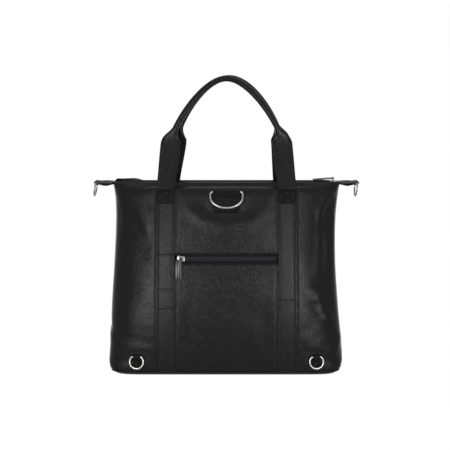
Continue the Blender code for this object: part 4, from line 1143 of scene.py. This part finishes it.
for side, face in FACES:
    turn = -side
    hinge = hinge_of(face + "_handle_fold")
    line, across, from_end = handle_path(side)
    rings = []
    for station, distance in enumerate(from_end):
        rings.append([handle_place(turn, hinge, line[station], across[station], a, b)
                      for a, b in handle_loop(distance)])
    item = tube_solid(face + "_handle_leather", rings, strap_leather)
    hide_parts(face + "_handle")
    pulled = smooth_step((from_end - ROLL_START) / PULL_LENGTH)
    layer = item.data.attributes.new("pulled_tight", "FLOAT", "POINT")
    layer.data.foreach_set("value", np.repeat(pulled, len(rings[0])).astype(np.float32))
    soft_pieces = [item]
    for hand in (-1, 1):
        for number, edge in enumerate((-1, 1)):
            chosen = [s for s in range(len(line)) if from_end[s] < ROLL_START and line[s][0] * hand > 0]
            inset = STRIP_WIDTH / 2 - STITCH_INSET
            points = [handle_place(turn, hinge, line[s], across[s], edge * inset, -STRAP / 2 + 0.0001)
                      for s in chosen]
            normals = [(0.0, -turn, 0.0)] * len(points)
            where = "left" if hand * turn < 0 else "right"
            name = f"{face}_handle_{where}_stitches_{number}"
            soft_pieces.append(stitches(name, points, normals, face + "_handle"))
    for piece in soft_pieces:
        piece.parent = None
        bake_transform(piece)
    chosen = [s for s in range(len(line)) if from_end[s] > STRAP_LENGTH + ROLL_LENGTH]
    points = [handle_place(turn, hinge, line[s], across[s], 0.0016, GRIP_RADIUS - 0.0002) for s in chosen]
    stitches(face + "_grip_seam_stitches", points, [(0.0, turn, 0.0)] * len(points), face + "_handle")
    turns = np.arange(CORD_POINTS) / CORD_POINTS * math.tau
    rings = []
    for s in chosen:
        laid = turns - from_end[s] / CORD_LAY * math.tau
        strands = CORD_RADIUS * (1 - STRAND_DEPTH * (1 - np.abs(np.cos(1.5 * laid))))
        rings.append([handle_place(turn, hinge, line[s], across[s], a, b)
                      for a, b in zip(strands * np.cos(turns), strands * np.sin(turns))])
    cord = tube_solid(face + "_handle_cord", rings, core_cord)
    keep(cord, face + "_handle", "handle_core", face + "_handle_core")
print("handles: 2")

# %% [markdown]
# ## Top facings
#
# Between the walls and the zip lie two leather bands. Each is flat where it is sewn to the zip's tape
# and slopes down to the wall's rim. Soft leather dips there and puckers a little along the thread.

# %% Top facings
ZIP_HEIGHT = WALL_HEIGHT + 0.005
TAPE, TAPE_WIDTH = 0.0008, 0.025
FACING, FACING_LAP, FACING_FIT, FACING_DROP = 0.0016, 0.009, 0.0008, 0.0004
FACING_EDGE, FACING_STITCH, FACING_DIP = 0.0015, 0.0112, 0.0012
inset = LEATHER + FACING_FIT
top_width, top_depth = half_width(WALL_HEIGHT) - inset, half_depth(WALL_HEIGHT) - inset
facing_end = 0.190
over_tape = ZIP_HEIGHT + TAPE / 2 + GAP

for side, face in FACES:
    xs = edge_steps(-facing_end, facing_end, 0.004, FACING_EDGE)
    share = edge_steps(0.0, 1.0, 0.055, 0.06)
    x, s = np.meshgrid(xs, share)
    reach = top_depth * (1 - (np.abs(x) / top_width) ** TOP_SQUARENESS) ** (1 / TOP_SQUARENESS)
    reach = reach - top_roll(side, x, WALL_HEIGHT)
    y = FACING_LAP + (reach - FACING_LAP) * s
    slope = smooth_step((y - TAPE_WIDTH / 2 - GAP) / np.maximum(reach - TAPE_WIDTH / 2 - GAP, 1e-6))
    rim = WALL_HEIGHT - FACING_DROP - FACING + wing_rise(side, x, WALL_HEIGHT)
    low = over_tape + (rim - over_tape) * slope
    dip = FACING_DIP * np.sin(math.pi * np.clip(slope, 0, 1)) * (1 + 0.5 * np.sin(x * 95 + side))
    pucker = 0.00022 * np.exp(-((y - FACING_STITCH) / 0.003) ** 2) * np.sin(x * math.tau / 0.013)
    edge = np.minimum(from_rim(xs, share * 0.02), FACING_EDGE)
    top = low + FACING * turned(edge, 0.0014) - dip + pucker + groove(y - FACING_STITCH, 0.0009, 0.0003)
    item = sheet_solid(face + "_top_facing_leather", np.stack([x, side * y, top], -1),
                       np.stack([x, side * y, low - dip], -1), leather)
    keep(item, "bag", "leather", face + "_top_facing")
    xs = np.linspace(-facing_end + 0.004, facing_end - 0.004, 180)
    level = over_tape + FACING - 0.0001
    points = np.stack([xs, np.full_like(xs, side * FACING_STITCH), np.full_like(xs, level)], -1)
    stitches(face + "_top_facing_stitches", points, np.tile(UP, (len(xs), 1)), "bag")
print("facings:", round(facing_end * 2000), "mm long")

# %% [markdown]
# ## Zips
#
# Both zips have a woven tape on each side, with moulded teeth that lock into each other. The CAD comb
# has one coarse tooth every 6 mm; real ones of this size come every 3 mm on each side. A tooth is a
# small loft across the zip: a broad root on the tape, a neck and a head that reaches past the middle.

# %% Zip tapes and teeth
CHAIN_WIDTH, TEETH, TOOTH_PITCH = 0.006, 0.0020, 0.0030
ZIP_LENGTH = TOP_WIDTH - 0.012
END_TAB_START = TOP_WIDTH / 2 - 0.005
POCKET_ZIP_LENGTH = 2 * (STRIP_CENTRES[BACK] - 0.0015) - STRIP_WIDTH
POCKET_TAPE_LENGTH = 2 * (STRIP_CENTRES[BACK] - 0.003)

# A tooth from its root to its tip: place across the zip, half width, and share of the height
TOOTH = [(0.0032, 0.0012, 0.1), (0.0016, 0.0011, 0.8), (0.0006, 0.00060, 1.1),
         (-0.0002, 0.00070, 1.1), (-0.0008, 0.0004, 0.6)]
# The outline of a tooth, in half widths and half heights
TOOTH_OUTLINE = [(-1, -1), (1, -1), (1, 0.6), (0.55, 1), (-0.55, 1), (-1, 0.6)]

# A zip's middle, and the ways along it, out of its face and across it
top_zip = (np.array((0, 0, ZIP_HEIGHT)), np.array((1, 0, 0)), UP, np.array((0, 1, 0)))


def on_back(run, z):
    """Place and axes on the plain back face: along it, out of it and up it."""
    place = shell(BACK, run, z)
    out = normals_of(shell, BACK, np.array(float(run)), np.array(float(z)))
    along = np.cross(UP, out)
    along /= np.linalg.norm(along)
    return place, along, out, np.cross(out, along)


chord = half_depth(POCKET_HEIGHT) - abs(shell(BACK, POCKET_TAPE_LENGTH / 2, POCKET_HEIGHT)[1])
POCKET_DROP = LEATHER + GAP + chord + TAPE / 2
place, along, out, up = on_back(0.0, POCKET_HEIGHT)
pocket_zip = (place - out * POCKET_DROP, along, out, up)


def on_zip(zip_axes, x, rise, across):
    """A point of a zip. The pocket's zip bows out a little with the filled bag."""
    centre, along, out, over = zip_axes
    x = np.asarray(x)
    bow = ZIP_BOW * (1 - (2 * x / POCKET_TAPE_LENGTH) ** 2) if zip_axes is pocket_zip else 0.0
    return (centre + x[..., None] * along + (np.asarray(rise) + bow)[..., None] * out
            + np.asarray(across)[..., None] * over)


def zip_side(name, zip_axes, way, tape_length, chain_length):
    """One side of a zip: its tape, with a corded edge under the teeth, and its row of teeth."""
    xs = edge_steps(-tape_length / 2, tape_length / 2, 0.006, 0.001)
    ws = edge_steps(CHAIN_WIDTH / 2 + GAP, TAPE_WIDTH / 2, 0.0012, 0.0004)
    x, w = np.meshgrid(xs, ws)
    rise = TAPE / 2 * turned(from_rim(xs, ws), 0.0004) + 0.00012 * np.sin(w * math.tau / 0.0016)
    item = sheet_solid(name + "_tape_cloth", on_zip(zip_axes, x, rise, way * w),
                       on_zip(zip_axes, x, -np.full_like(rise, TAPE / 2), way * w), zip_tape)
    keep(item, "bag", "zip_tape", name + "_tape")
    count = int(chain_length / TOOTH_PITCH)
    points, faces = [], []
    for number in range(count):
        middle = (number + 0.5 - count / 2) * TOOTH_PITCH + way * TOOTH_PITCH / 4
        faces += loft_faces(len(points), len(TOOTH), len(TOOTH_OUTLINE))
        for across, half, height in TOOTH:
            tall = TEETH / 2 * height
            for dx, rise in TOOTH_OUTLINE:
                points.append(on_zip(zip_axes, middle + half * dx, tall * rise, way * across))
    item = mesh_object(name + "_teeth_moulded", points, faces, teeth_plastic, 30.0)
    keep(item, "bag", "zip_teeth", name + "_teeth")
    return count


tape_length = 2 * (END_TAB_START + 0.007)
count = zip_side("main_zip_front", top_zip, 1, tape_length, ZIP_LENGTH)
count += zip_side("main_zip_back", top_zip, -1, tape_length, ZIP_LENGTH)
count += zip_side("pocket_zip_upper", pocket_zip, 1, POCKET_TAPE_LENGTH, POCKET_ZIP_LENGTH)
count += zip_side("pocket_zip_lower", pocket_zip, -1, POCKET_TAPE_LENGTH, POCKET_ZIP_LENGTH)
print("zip teeth:", count)

# %% [markdown]
# ## Sliders and pulls
#
# These are small castings, so no edge on them is sharp. The CAD solids have the right forms; we copy
# each one and round its edges with a bevel, which gives every corner a thin bright line.

# %% Sliders and pulls
CAST_ROUNDING, CAST_STEPS, CAST_ANGLE = 0.00028, 3, math.radians(35)


def rounded_copy(node, finish):
    """A copy of a CAD casting that rides on its own body, with rounded edges."""
    item = frame["nodes"][node].copy()
    item.data = item.data.copy()
    for key in list(item.keys()):
        del item[key]
    item.parent = None
    item.name = node + "_cast"
    bpy.context.scene.collection.objects.link(item)
    work = bmesh.new()
    work.from_mesh(item.data)
    bmesh.ops.remove_doubles(work, verts=work.verts, dist=1e-6)
    bmesh.ops.dissolve_limit(work, angle_limit=math.radians(1.0), verts=work.verts, edges=work.edges)
    work.to_mesh(item.data)
    work.free()
    item.data.materials.clear()
    item.data.materials.append(finish)
    bevel = item.modifiers.new("rounding", "BEVEL")
    bevel.width = CAST_ROUNDING
    bevel.segments = CAST_STEPS
    bevel.limit_method = "ANGLE"
    bevel.angle_limit = CAST_ANGLE
    bevel.harden_normals = False
    item.data.shade_smooth()
    return keep(item, node, "nickel", node)


for node in ("main_zip_slider", "pocket_zip_slider"):
    rounded_copy(node, nickel)
for node in ("main_zip_pull", "pocket_zip_pull"):
    rounded_copy(node, dark_nickel)
print("castings: 4")

# %% [markdown]
# ## Rings
#
# The D-rings are bent from round steel wire and plated. A ring is a circle swept along the ring's own
# line, so it is smooth from every side. It hangs from its bar, in a fold of its tab.

# %% D-rings
WIRE_POINTS = 18


def wire_ring(name, origin, along, down, path, radius):
    """Sweep a round wire along a closed flat path, given by (along the bar, down from it)."""
    path = np.asarray(path)
    ahead = np.roll(path, -1, axis=0) - np.roll(path, 1, axis=0)
    ahead /= np.linalg.norm(ahead, axis=1, keepdims=True)
    centres = [origin + along * a + down * d for a, d in path]
    aside = [along * -v + down * u for u, v in ahead]
    rings = round_rod(centres, aside, np.cross(along, down), radius, WIRE_POINTS)
    return keep(tube_solid(name + "_wire", rings, nickel, closed=True), name, "nickel", name)


def spaced(path, pitch):
    """Points at an even pitch round a closed path."""
    path = np.asarray(path)
    path = np.concatenate([path, path[:1]])
    runs = lengths_along(path)
    at = np.linspace(0, runs[-1], max(24, round(runs[-1] / pitch)), endpoint=False)
    return np.stack([np.interp(at, runs, path[:, axis]) for axis in range(2)], axis=-1)


def round_d(radius, chord, corner):
    """A round bow closed by a straight bar, with its two corners rounded off."""
    half = math.sqrt(radius ** 2 - chord ** 2)
    start = math.atan2(chord, half)
    bow = [(radius * math.cos(a), chord - radius * math.sin(a))
           for a in np.linspace(start - corner / radius, -math.pi - start + corner / radius, 60)]

    def bent(a, b, c, t):
        return tuple((1 - t) ** 2 * np.array(a) + 2 * t * (1 - t) * np.array(b) + t * t * np.array(c))

    left = [bent(bow[-1], (-half, 0.0), (-half + corner, 0.0), t) for t in np.linspace(0.15, 1, 7)]
    right = [bent((half - corner, 0.0), (half, 0.0), bow[0], t) for t in np.linspace(0, 0.85, 7)]
    return bow + left + right


def wide_d(width, drop, side, corner, wire):
    """A broad bow on two short sides, closed by a straight bar with rounded corners."""
    reach = (width + wire) / 2
    curve = np.linspace(0, math.pi / 2, 8)
    right = [(reach - corner + corner * math.sin(a), corner - corner * math.cos(a)) for a in curve]
    bow = [(reach * math.cos(a), side + (drop - side) * math.sin(a)) for a in np.linspace(0, math.pi, 60)]
    left = [(-x, d) for x, d in right[::-1]]
    return right + bow + left


print("wire rings have", WIRE_POINTS, "points round the wire")

# %% Rings in their places
TAB = 0.0015
WIRE_SIDES = 8
TOP_WIRE, LOW_WIRE, END_WIRE = 0.0038, 0.0034, 0.0030
TOP_RING_HEIGHT = WALL_HEIGHT - 0.007
WIDE_WIDTH, WIDE_DROP, WIDE_SIDE, WIDE_CORNER = 0.051, 0.027, 0.008, 0.004
LOW_RADIUS, LOW_CHORD = 0.0116, 0.0080
END_RADIUS, END_CHORD = 0.0145, 0.0090
SMALL_CORNER, WIDE_PITCH, SMALL_PITCH = 0.002, 0.0012, 0.0010
END_LEANS = {"left": math.radians(9.0), "right": math.radians(-5.0)}
TOP_LEAN, LOW_LEAN = math.radians(5.0), math.radians(8.0)


def wire_reach(wire):
    """How far the corners of the CAD model's eight-sided wire reach from its middle."""
    return wire / 2 / math.cos(math.pi / WIRE_SIDES)


def ring_seat(run, z, wire):
    """The bar's middle, and the ways along the bar, out of the face and up it."""
    place, along, out, up = on_back(run, z)
    stand_off = wire_reach(wire) + GAP + TAB + GAP
    return place + out * stand_off, along, out, up


top_seat = ring_seat(0.0, TOP_RING_HEIGHT, TOP_WIRE)
origin, along, out, up = top_seat
down = -up * math.cos(TOP_LEAN) + out * math.sin(TOP_LEAN)
path = spaced(wide_d(WIDE_WIDTH, WIDE_DROP, WIDE_SIDE, WIDE_CORNER, TOP_WIRE), WIDE_PITCH)
wire_ring("top_ring", origin, along, down, path, TOP_WIRE / 2)
low_seats = {}
for hand, where in HANDS:
    run = run_at(hand * LOW_RING_OFFSET, LOW_RING_HEIGHT)
    low_seats[where] = ring_seat(run, LOW_RING_HEIGHT, LOW_WIRE)
    origin, along, out, up = low_seats[where]
    down = -up * math.cos(LOW_LEAN) + out * math.sin(LOW_LEAN)
    path = spaced(round_d(LOW_RADIUS, LOW_CHORD, SMALL_CORNER), SMALL_PITCH)
    wire_ring("lower_" + where + "_ring", origin, along, down, path, LOW_WIRE / 2)
    hinge = hinge_of(where + "_end_ring_swing")
    path = spaced(round_d(END_RADIUS, END_CHORD, SMALL_CORNER), SMALL_PITCH)
    down = np.array((hand * math.sin(END_LEANS[where]), 0.0, -math.cos(END_LEANS[where])))
    wire_ring(where + "_end_ring", np.array(hinge), np.array((0, 1.0, 0)), down, path, END_WIRE / 2)
    print(where, "ring bar at", [round(v, 4) for v in origin])

# %% [markdown]
# ## Ring tabs
#
# Each ring hangs in a strip of leather that is folded over the ring's bar and sewn to the bag with both
# layers together. We follow the fold with a line of points, and lay a sheet with turned edges on it.


# %% Folded sheets
TAB_PITCH, TAB_EDGE = 0.0012, 0.0009


def folded_sheet(name, line, ups, across, width, thick, finish, relief=None):
    """A strip along a line of points; ups point out of the fold, across runs over its width."""
    line, ups = np.asarray(line), np.asarray(ups)
    runs = lengths_along(line)
    us = edge_steps(-width / 2, width / 2, TAB_PITCH, TAB_EDGE)
    u, v = np.meshgrid(us, runs)
    edge = np.minimum(np.minimum(u - us[0], us[-1] - u), np.minimum(v, runs[-1] - v))
    top = thick / 2 * (2 * turned(edge, TAB_EDGE) - 1)
    if relief is not None:
        top = top + relief(u, v, runs[-1])
    across = np.broadcast_to(np.asarray(across, float), line.shape)
    centre = line[:, None, :] + u[..., None] * across[:, None, :]
    return sheet_solid(name, centre + top[..., None] * ups[:, None, :],
                       centre - (thick / 2) * ups[:, None, :], finish)


def smooth_line(spots, pitch):
    """Even points along a bent 2D line, and the normal on its left side at each."""
    spots = np.asarray(spots, float)
    runs = lengths_along(spots)
    at = np.linspace(0, runs[-1], round(runs[-1] / pitch) + 1)
    even = np.stack([np.interp(at, runs, spots[:, axis]) for axis in range(2)], axis=-1)
    ahead = np.gradient(even, axis=0)
    ahead /= np.linalg.norm(ahead, axis=1, keepdims=True)
    return even, np.stack([-ahead[:, 1], ahead[:, 0]], axis=-1)


print("tabs have turned edges of", TAB_EDGE * 1000, "mm")

# %% Tabs on the face
TOP_TAB_LENGTH, LOW_TAB_LENGTH = 0.031, 0.015
SEW_INSET, SEW_CLEAR, STITCHED_POINTS = 0.0022, 0.008, 24


def ring_tab(name, seat, length, width, wire):
    """A tab folded over a ring's bar and sewn to the face with a box and a cross."""
    origin, along, out, up = seat
    turn = wire_reach(wire) + GAP + TAB / 2
    over = turn - TAB - GAP
    box = length - SEW_CLEAR
    spots = [(-turn, -length)]
    spots += [(-turn * math.cos(a), turn * math.sin(a)) for a in np.linspace(0, math.pi, 24)]
    spots += [(-over, -0.006 - wire), (-over, -length)]
    even, left = smooth_line(spots, 0.0009)
    line = origin + even[:, :1] * out + even[:, 1:] * up
    ups = left[:, :1] * out + left[:, 1:] * up

    def sewn(u, v, total):
        on_face = smooth_step((v - total + length - 0.006) / 0.002)
        down = total - v
        box_edge = np.minimum(width / 2 - np.abs(u), np.minimum(down, np.maximum(box - down, 0)))
        slant = down / box - 0.5
        cross = np.minimum(np.abs(u / width - slant), np.abs(u / width + slant)) * width * 0.7
        wrinkles = 0.0003 * np.sin(down * math.tau / 0.0062 + 1.6 * np.sin(u * 75))
        threads = groove(box_edge - SEW_INSET, 0.0008, 0.0004) + groove(cross, 0.0009, 0.0004)
        return on_face * (threads + wrinkles * smooth_step(box_edge / 0.006))

    item = folded_sheet(name + "_leather", line, ups, along, width, TAB, strap_leather, sewn)
    keep(item, "bag", "leather", name)
    low, high, half = -length + SEW_INSET, -0.0095 - 0.004 * (length > 0.02), width / 2 - SEW_INSET
    corners = [(-half, high), (-half, low), (half, low), (half, high), (-half, high)]
    for number, (a, b) in enumerate(zip(corners, corners[1:])):
        share = np.linspace(0, 1, STITCHED_POINTS)[:, None]
        spots = np.array(a) * (1 - share) + np.array(b) * share
        points = origin + spots[:, :1] * along + spots[:, 1:] * up - out * (over - TAB / 2 + 0.0001)
        stitches(f"{name}_stitches_{number}", points, np.tile(out, (STITCHED_POINTS, 1)), "bag")


def bar_room(radius, chord, wire):
    """The width of a tab that fits on the bar of a round D-ring."""
    return 2 * (math.sqrt(radius ** 2 - chord ** 2) - wire / 2 - 0.0004)


wide_room = WIDE_WIDTH - 2 * (WIDE_CORNER - TOP_WIRE / 2 + 0.0002)
ring_tab("top_ring_tab", top_seat, TOP_TAB_LENGTH, wide_room, TOP_WIRE)
low_room = bar_room(LOW_RADIUS, LOW_CHORD, LOW_WIRE)
for where, seat in low_seats.items():
    ring_tab("lower_" + where + "_ring_tab", seat, LOW_TAB_LENGTH, low_room, LOW_WIRE)
print("tabs:", round(wide_room * 1000, 1), "and", round(low_room * 1000, 1), "mm wide")

# %% Tabs at the zip's ends
END_TAB_LENGTH = abs(hinge_of("left_end_ring_swing").x) - END_TAB_START - GAP
TAB_TWIST, TAB_SAG, TAB_THROAT = math.radians(12.0), 0.0012, 0.008
end_room = bar_room(END_RADIUS, END_CHORD, END_WIRE)
turn = wire_reach(END_WIRE) + GAP + TAB / 2
layer = TAPE / 2 + GAP + TAB / 2
spots = [(-END_TAB_LENGTH, layer), (-TAB_THROAT, layer)]
spots += [(turn * math.cos(a), turn * math.sin(a)) for a in np.linspace(math.pi / 2, -math.pi / 2, 24)]
spots += [(-TAB_THROAT, -layer), (-END_TAB_LENGTH, -layer)]
even, left = smooth_line(spots, 0.0010)
back = smooth_step(-even[:, 0] / END_TAB_LENGTH)
for hand, where in HANDS:
    hinge = np.array(hinge_of(where + "_end_ring_swing"))
    outward = np.array((hand, 0, 0))
    line = hinge + even[:, :1] * outward + even[:, 1:] * UP
    line = line - (TAB_SAG * np.sin(math.pi * back))[:, None] * UP
    ups = left[:, :1] * outward + left[:, 1:] * UP
    twist = TAB_TWIST * np.sin(math.pi * back)
    across = np.stack([0 * twist, np.cos(twist), np.sin(twist)], axis=-1)
    ups = ups * np.cos(twist)[:, None] - np.array((0, 1.0, 0)) * (left[:, 1] * np.sin(twist))[:, None]
    item = folded_sheet(where + "_end_tab_leather", line, ups, across, end_room, TAB, strap_leather)
    keep(item, "bag", "leather", where + "_end_tab")
print("end tabs:", round(END_TAB_LENGTH * 1000, 1), "mm long")

# %% [markdown]
# ## Inside
#
# The lining is a loose cloth bag that hangs from the facings and stands on the base board, and the
# pocket's pouch hangs behind its zip. They don't show while the zips are shut, but they are there.

# %% Lining
LINING, LINING_EASE, LINING_DROP, BOARD = 0.0010, 0.003, 0.008, 0.0025
POUCH_WIDTH, POUCH_LENGTH, POUCH_DEPTH, POUCH, POUCH_EASE = 0.160, 0.130, 0.0135, 0.0008, 0.0045
LINING_POINTS, FLOOR_CORNER, POUCH_POINTS = 128, 0.004, 72
shift = (POUCH_DEPTH + POUCH_EASE) / 2
aside = np.array((0.0, shift, 0.0))


def lining_ring(z, inset):
    """The lining's outline at a height, loosely creased, and moved over to leave the pouch its room."""
    ring = outline_ring(z, z, inset + shift, LINING_POINTS)
    angle = np.arctan2(ring[:, 1], ring[:, 0])
    crease = 0.0006 * np.sin(angle * 17 + z * 60) * np.sin(z * 55 + 1.0)
    ring[:, :2] *= (1 - np.abs(crease) / 0.09)[:, None]
    return ring + aside


def floor_ring(level, inset, share):
    """A ring of the lining's flat floor."""
    return outline_ring(floor, level, inset + shift + FLOOR_CORNER, LINING_POINTS, share) + aside


floor = LEATHER + BOARD + 2 * GAP
levels = np.concatenate([[floor + 0.0005, 0.009, 0.016, 0.024],
                         np.linspace(0.032, WALL_HEIGHT - LINING_DROP, 28)])
outer_inset = LEATHER + LINING_EASE
rings = [floor_ring(floor, outer_inset, s) for s in (0.03, 0.5, 0.95)]
rings += [lining_ring(z, outer_inset) for z in levels]
rings += [lining_ring(z, outer_inset + LINING) for z in levels[::-1]]
rings += [floor_ring(floor + LINING, outer_inset + LINING, s) for s in (0.95, 0.5, 0.03)]


def one_side(item):
    """Area of one side of a thin closed piece, in square metres."""
    return sum(face.area for face in item.data.polygons) / 2


lining = keep(tube_solid("lining_cloth", rings, lining_cloth), "bag", "lining_cloth", "lining")
print("lining:", round(one_side(lining), 3), "m2")

# %% Pocket pouch and board
pouch_top = POCKET_HEIGHT - TAPE_WIDTH / 2 - GAP
high, low = half_depth(pouch_top), half_depth(pouch_top - POUCH_LENGTH)
slant = math.atan2(low - high, POUCH_LENGTH)
hang = np.array((0.0, -math.sin(slant), -math.cos(slant)))
inward = np.array((0.0, math.cos(slant), -math.sin(slant)))
top_place = np.array((0.0, -high, pouch_top)) + inward * (POCKET_DROP - TAPE / 2)


def pouch_ring(drop, wall):
    """The pouch's outline at a drop from its mouth, drawn in by a wall."""
    half, near, far = POUCH_WIDTH / 2 - wall, wall, POUCH_DEPTH - wall
    slack = 0.0012 * math.sin(drop / POUCH_LENGTH * math.pi)
    turn = np.arange(POUCH_POINTS) / POUCH_POINTS * math.tau
    x = half * signed_power(np.cos(turn), 0.25)
    y = (near + far) / 2 + (far - near) / 2 * signed_power(np.sin(turn), 0.5)
    y = y + slack * np.sin(x * 70) * 0.3 * (np.abs(x) < half * 0.9)
    return top_place + x[:, None] * np.array((1.0, 0, 0)) + y[:, None] * inward + drop * hang


drops = np.linspace(0.0, POUCH_LENGTH - 0.0012, 24)
rings = [pouch_ring(POUCH_LENGTH, 0.004)] + [pouch_ring(d, 0.0) for d in drops[::-1]]
rings += [pouch_ring(d, POUCH) for d in drops[:-1]] + [pouch_ring(POUCH_LENGTH - POUCH, 0.0045)]
pouch = keep(tube_solid("pocket_pouch_cloth", rings, lining_cloth), "bag", "lining_cloth", "pocket_pouch")
print("pouch:", round(one_side(pouch), 4), "m2")
board = frame["nodes"]["base_board"]
board.data.materials.clear()
board.data.materials.append(board_plastic)
print("stitches in all:", stitch_count)
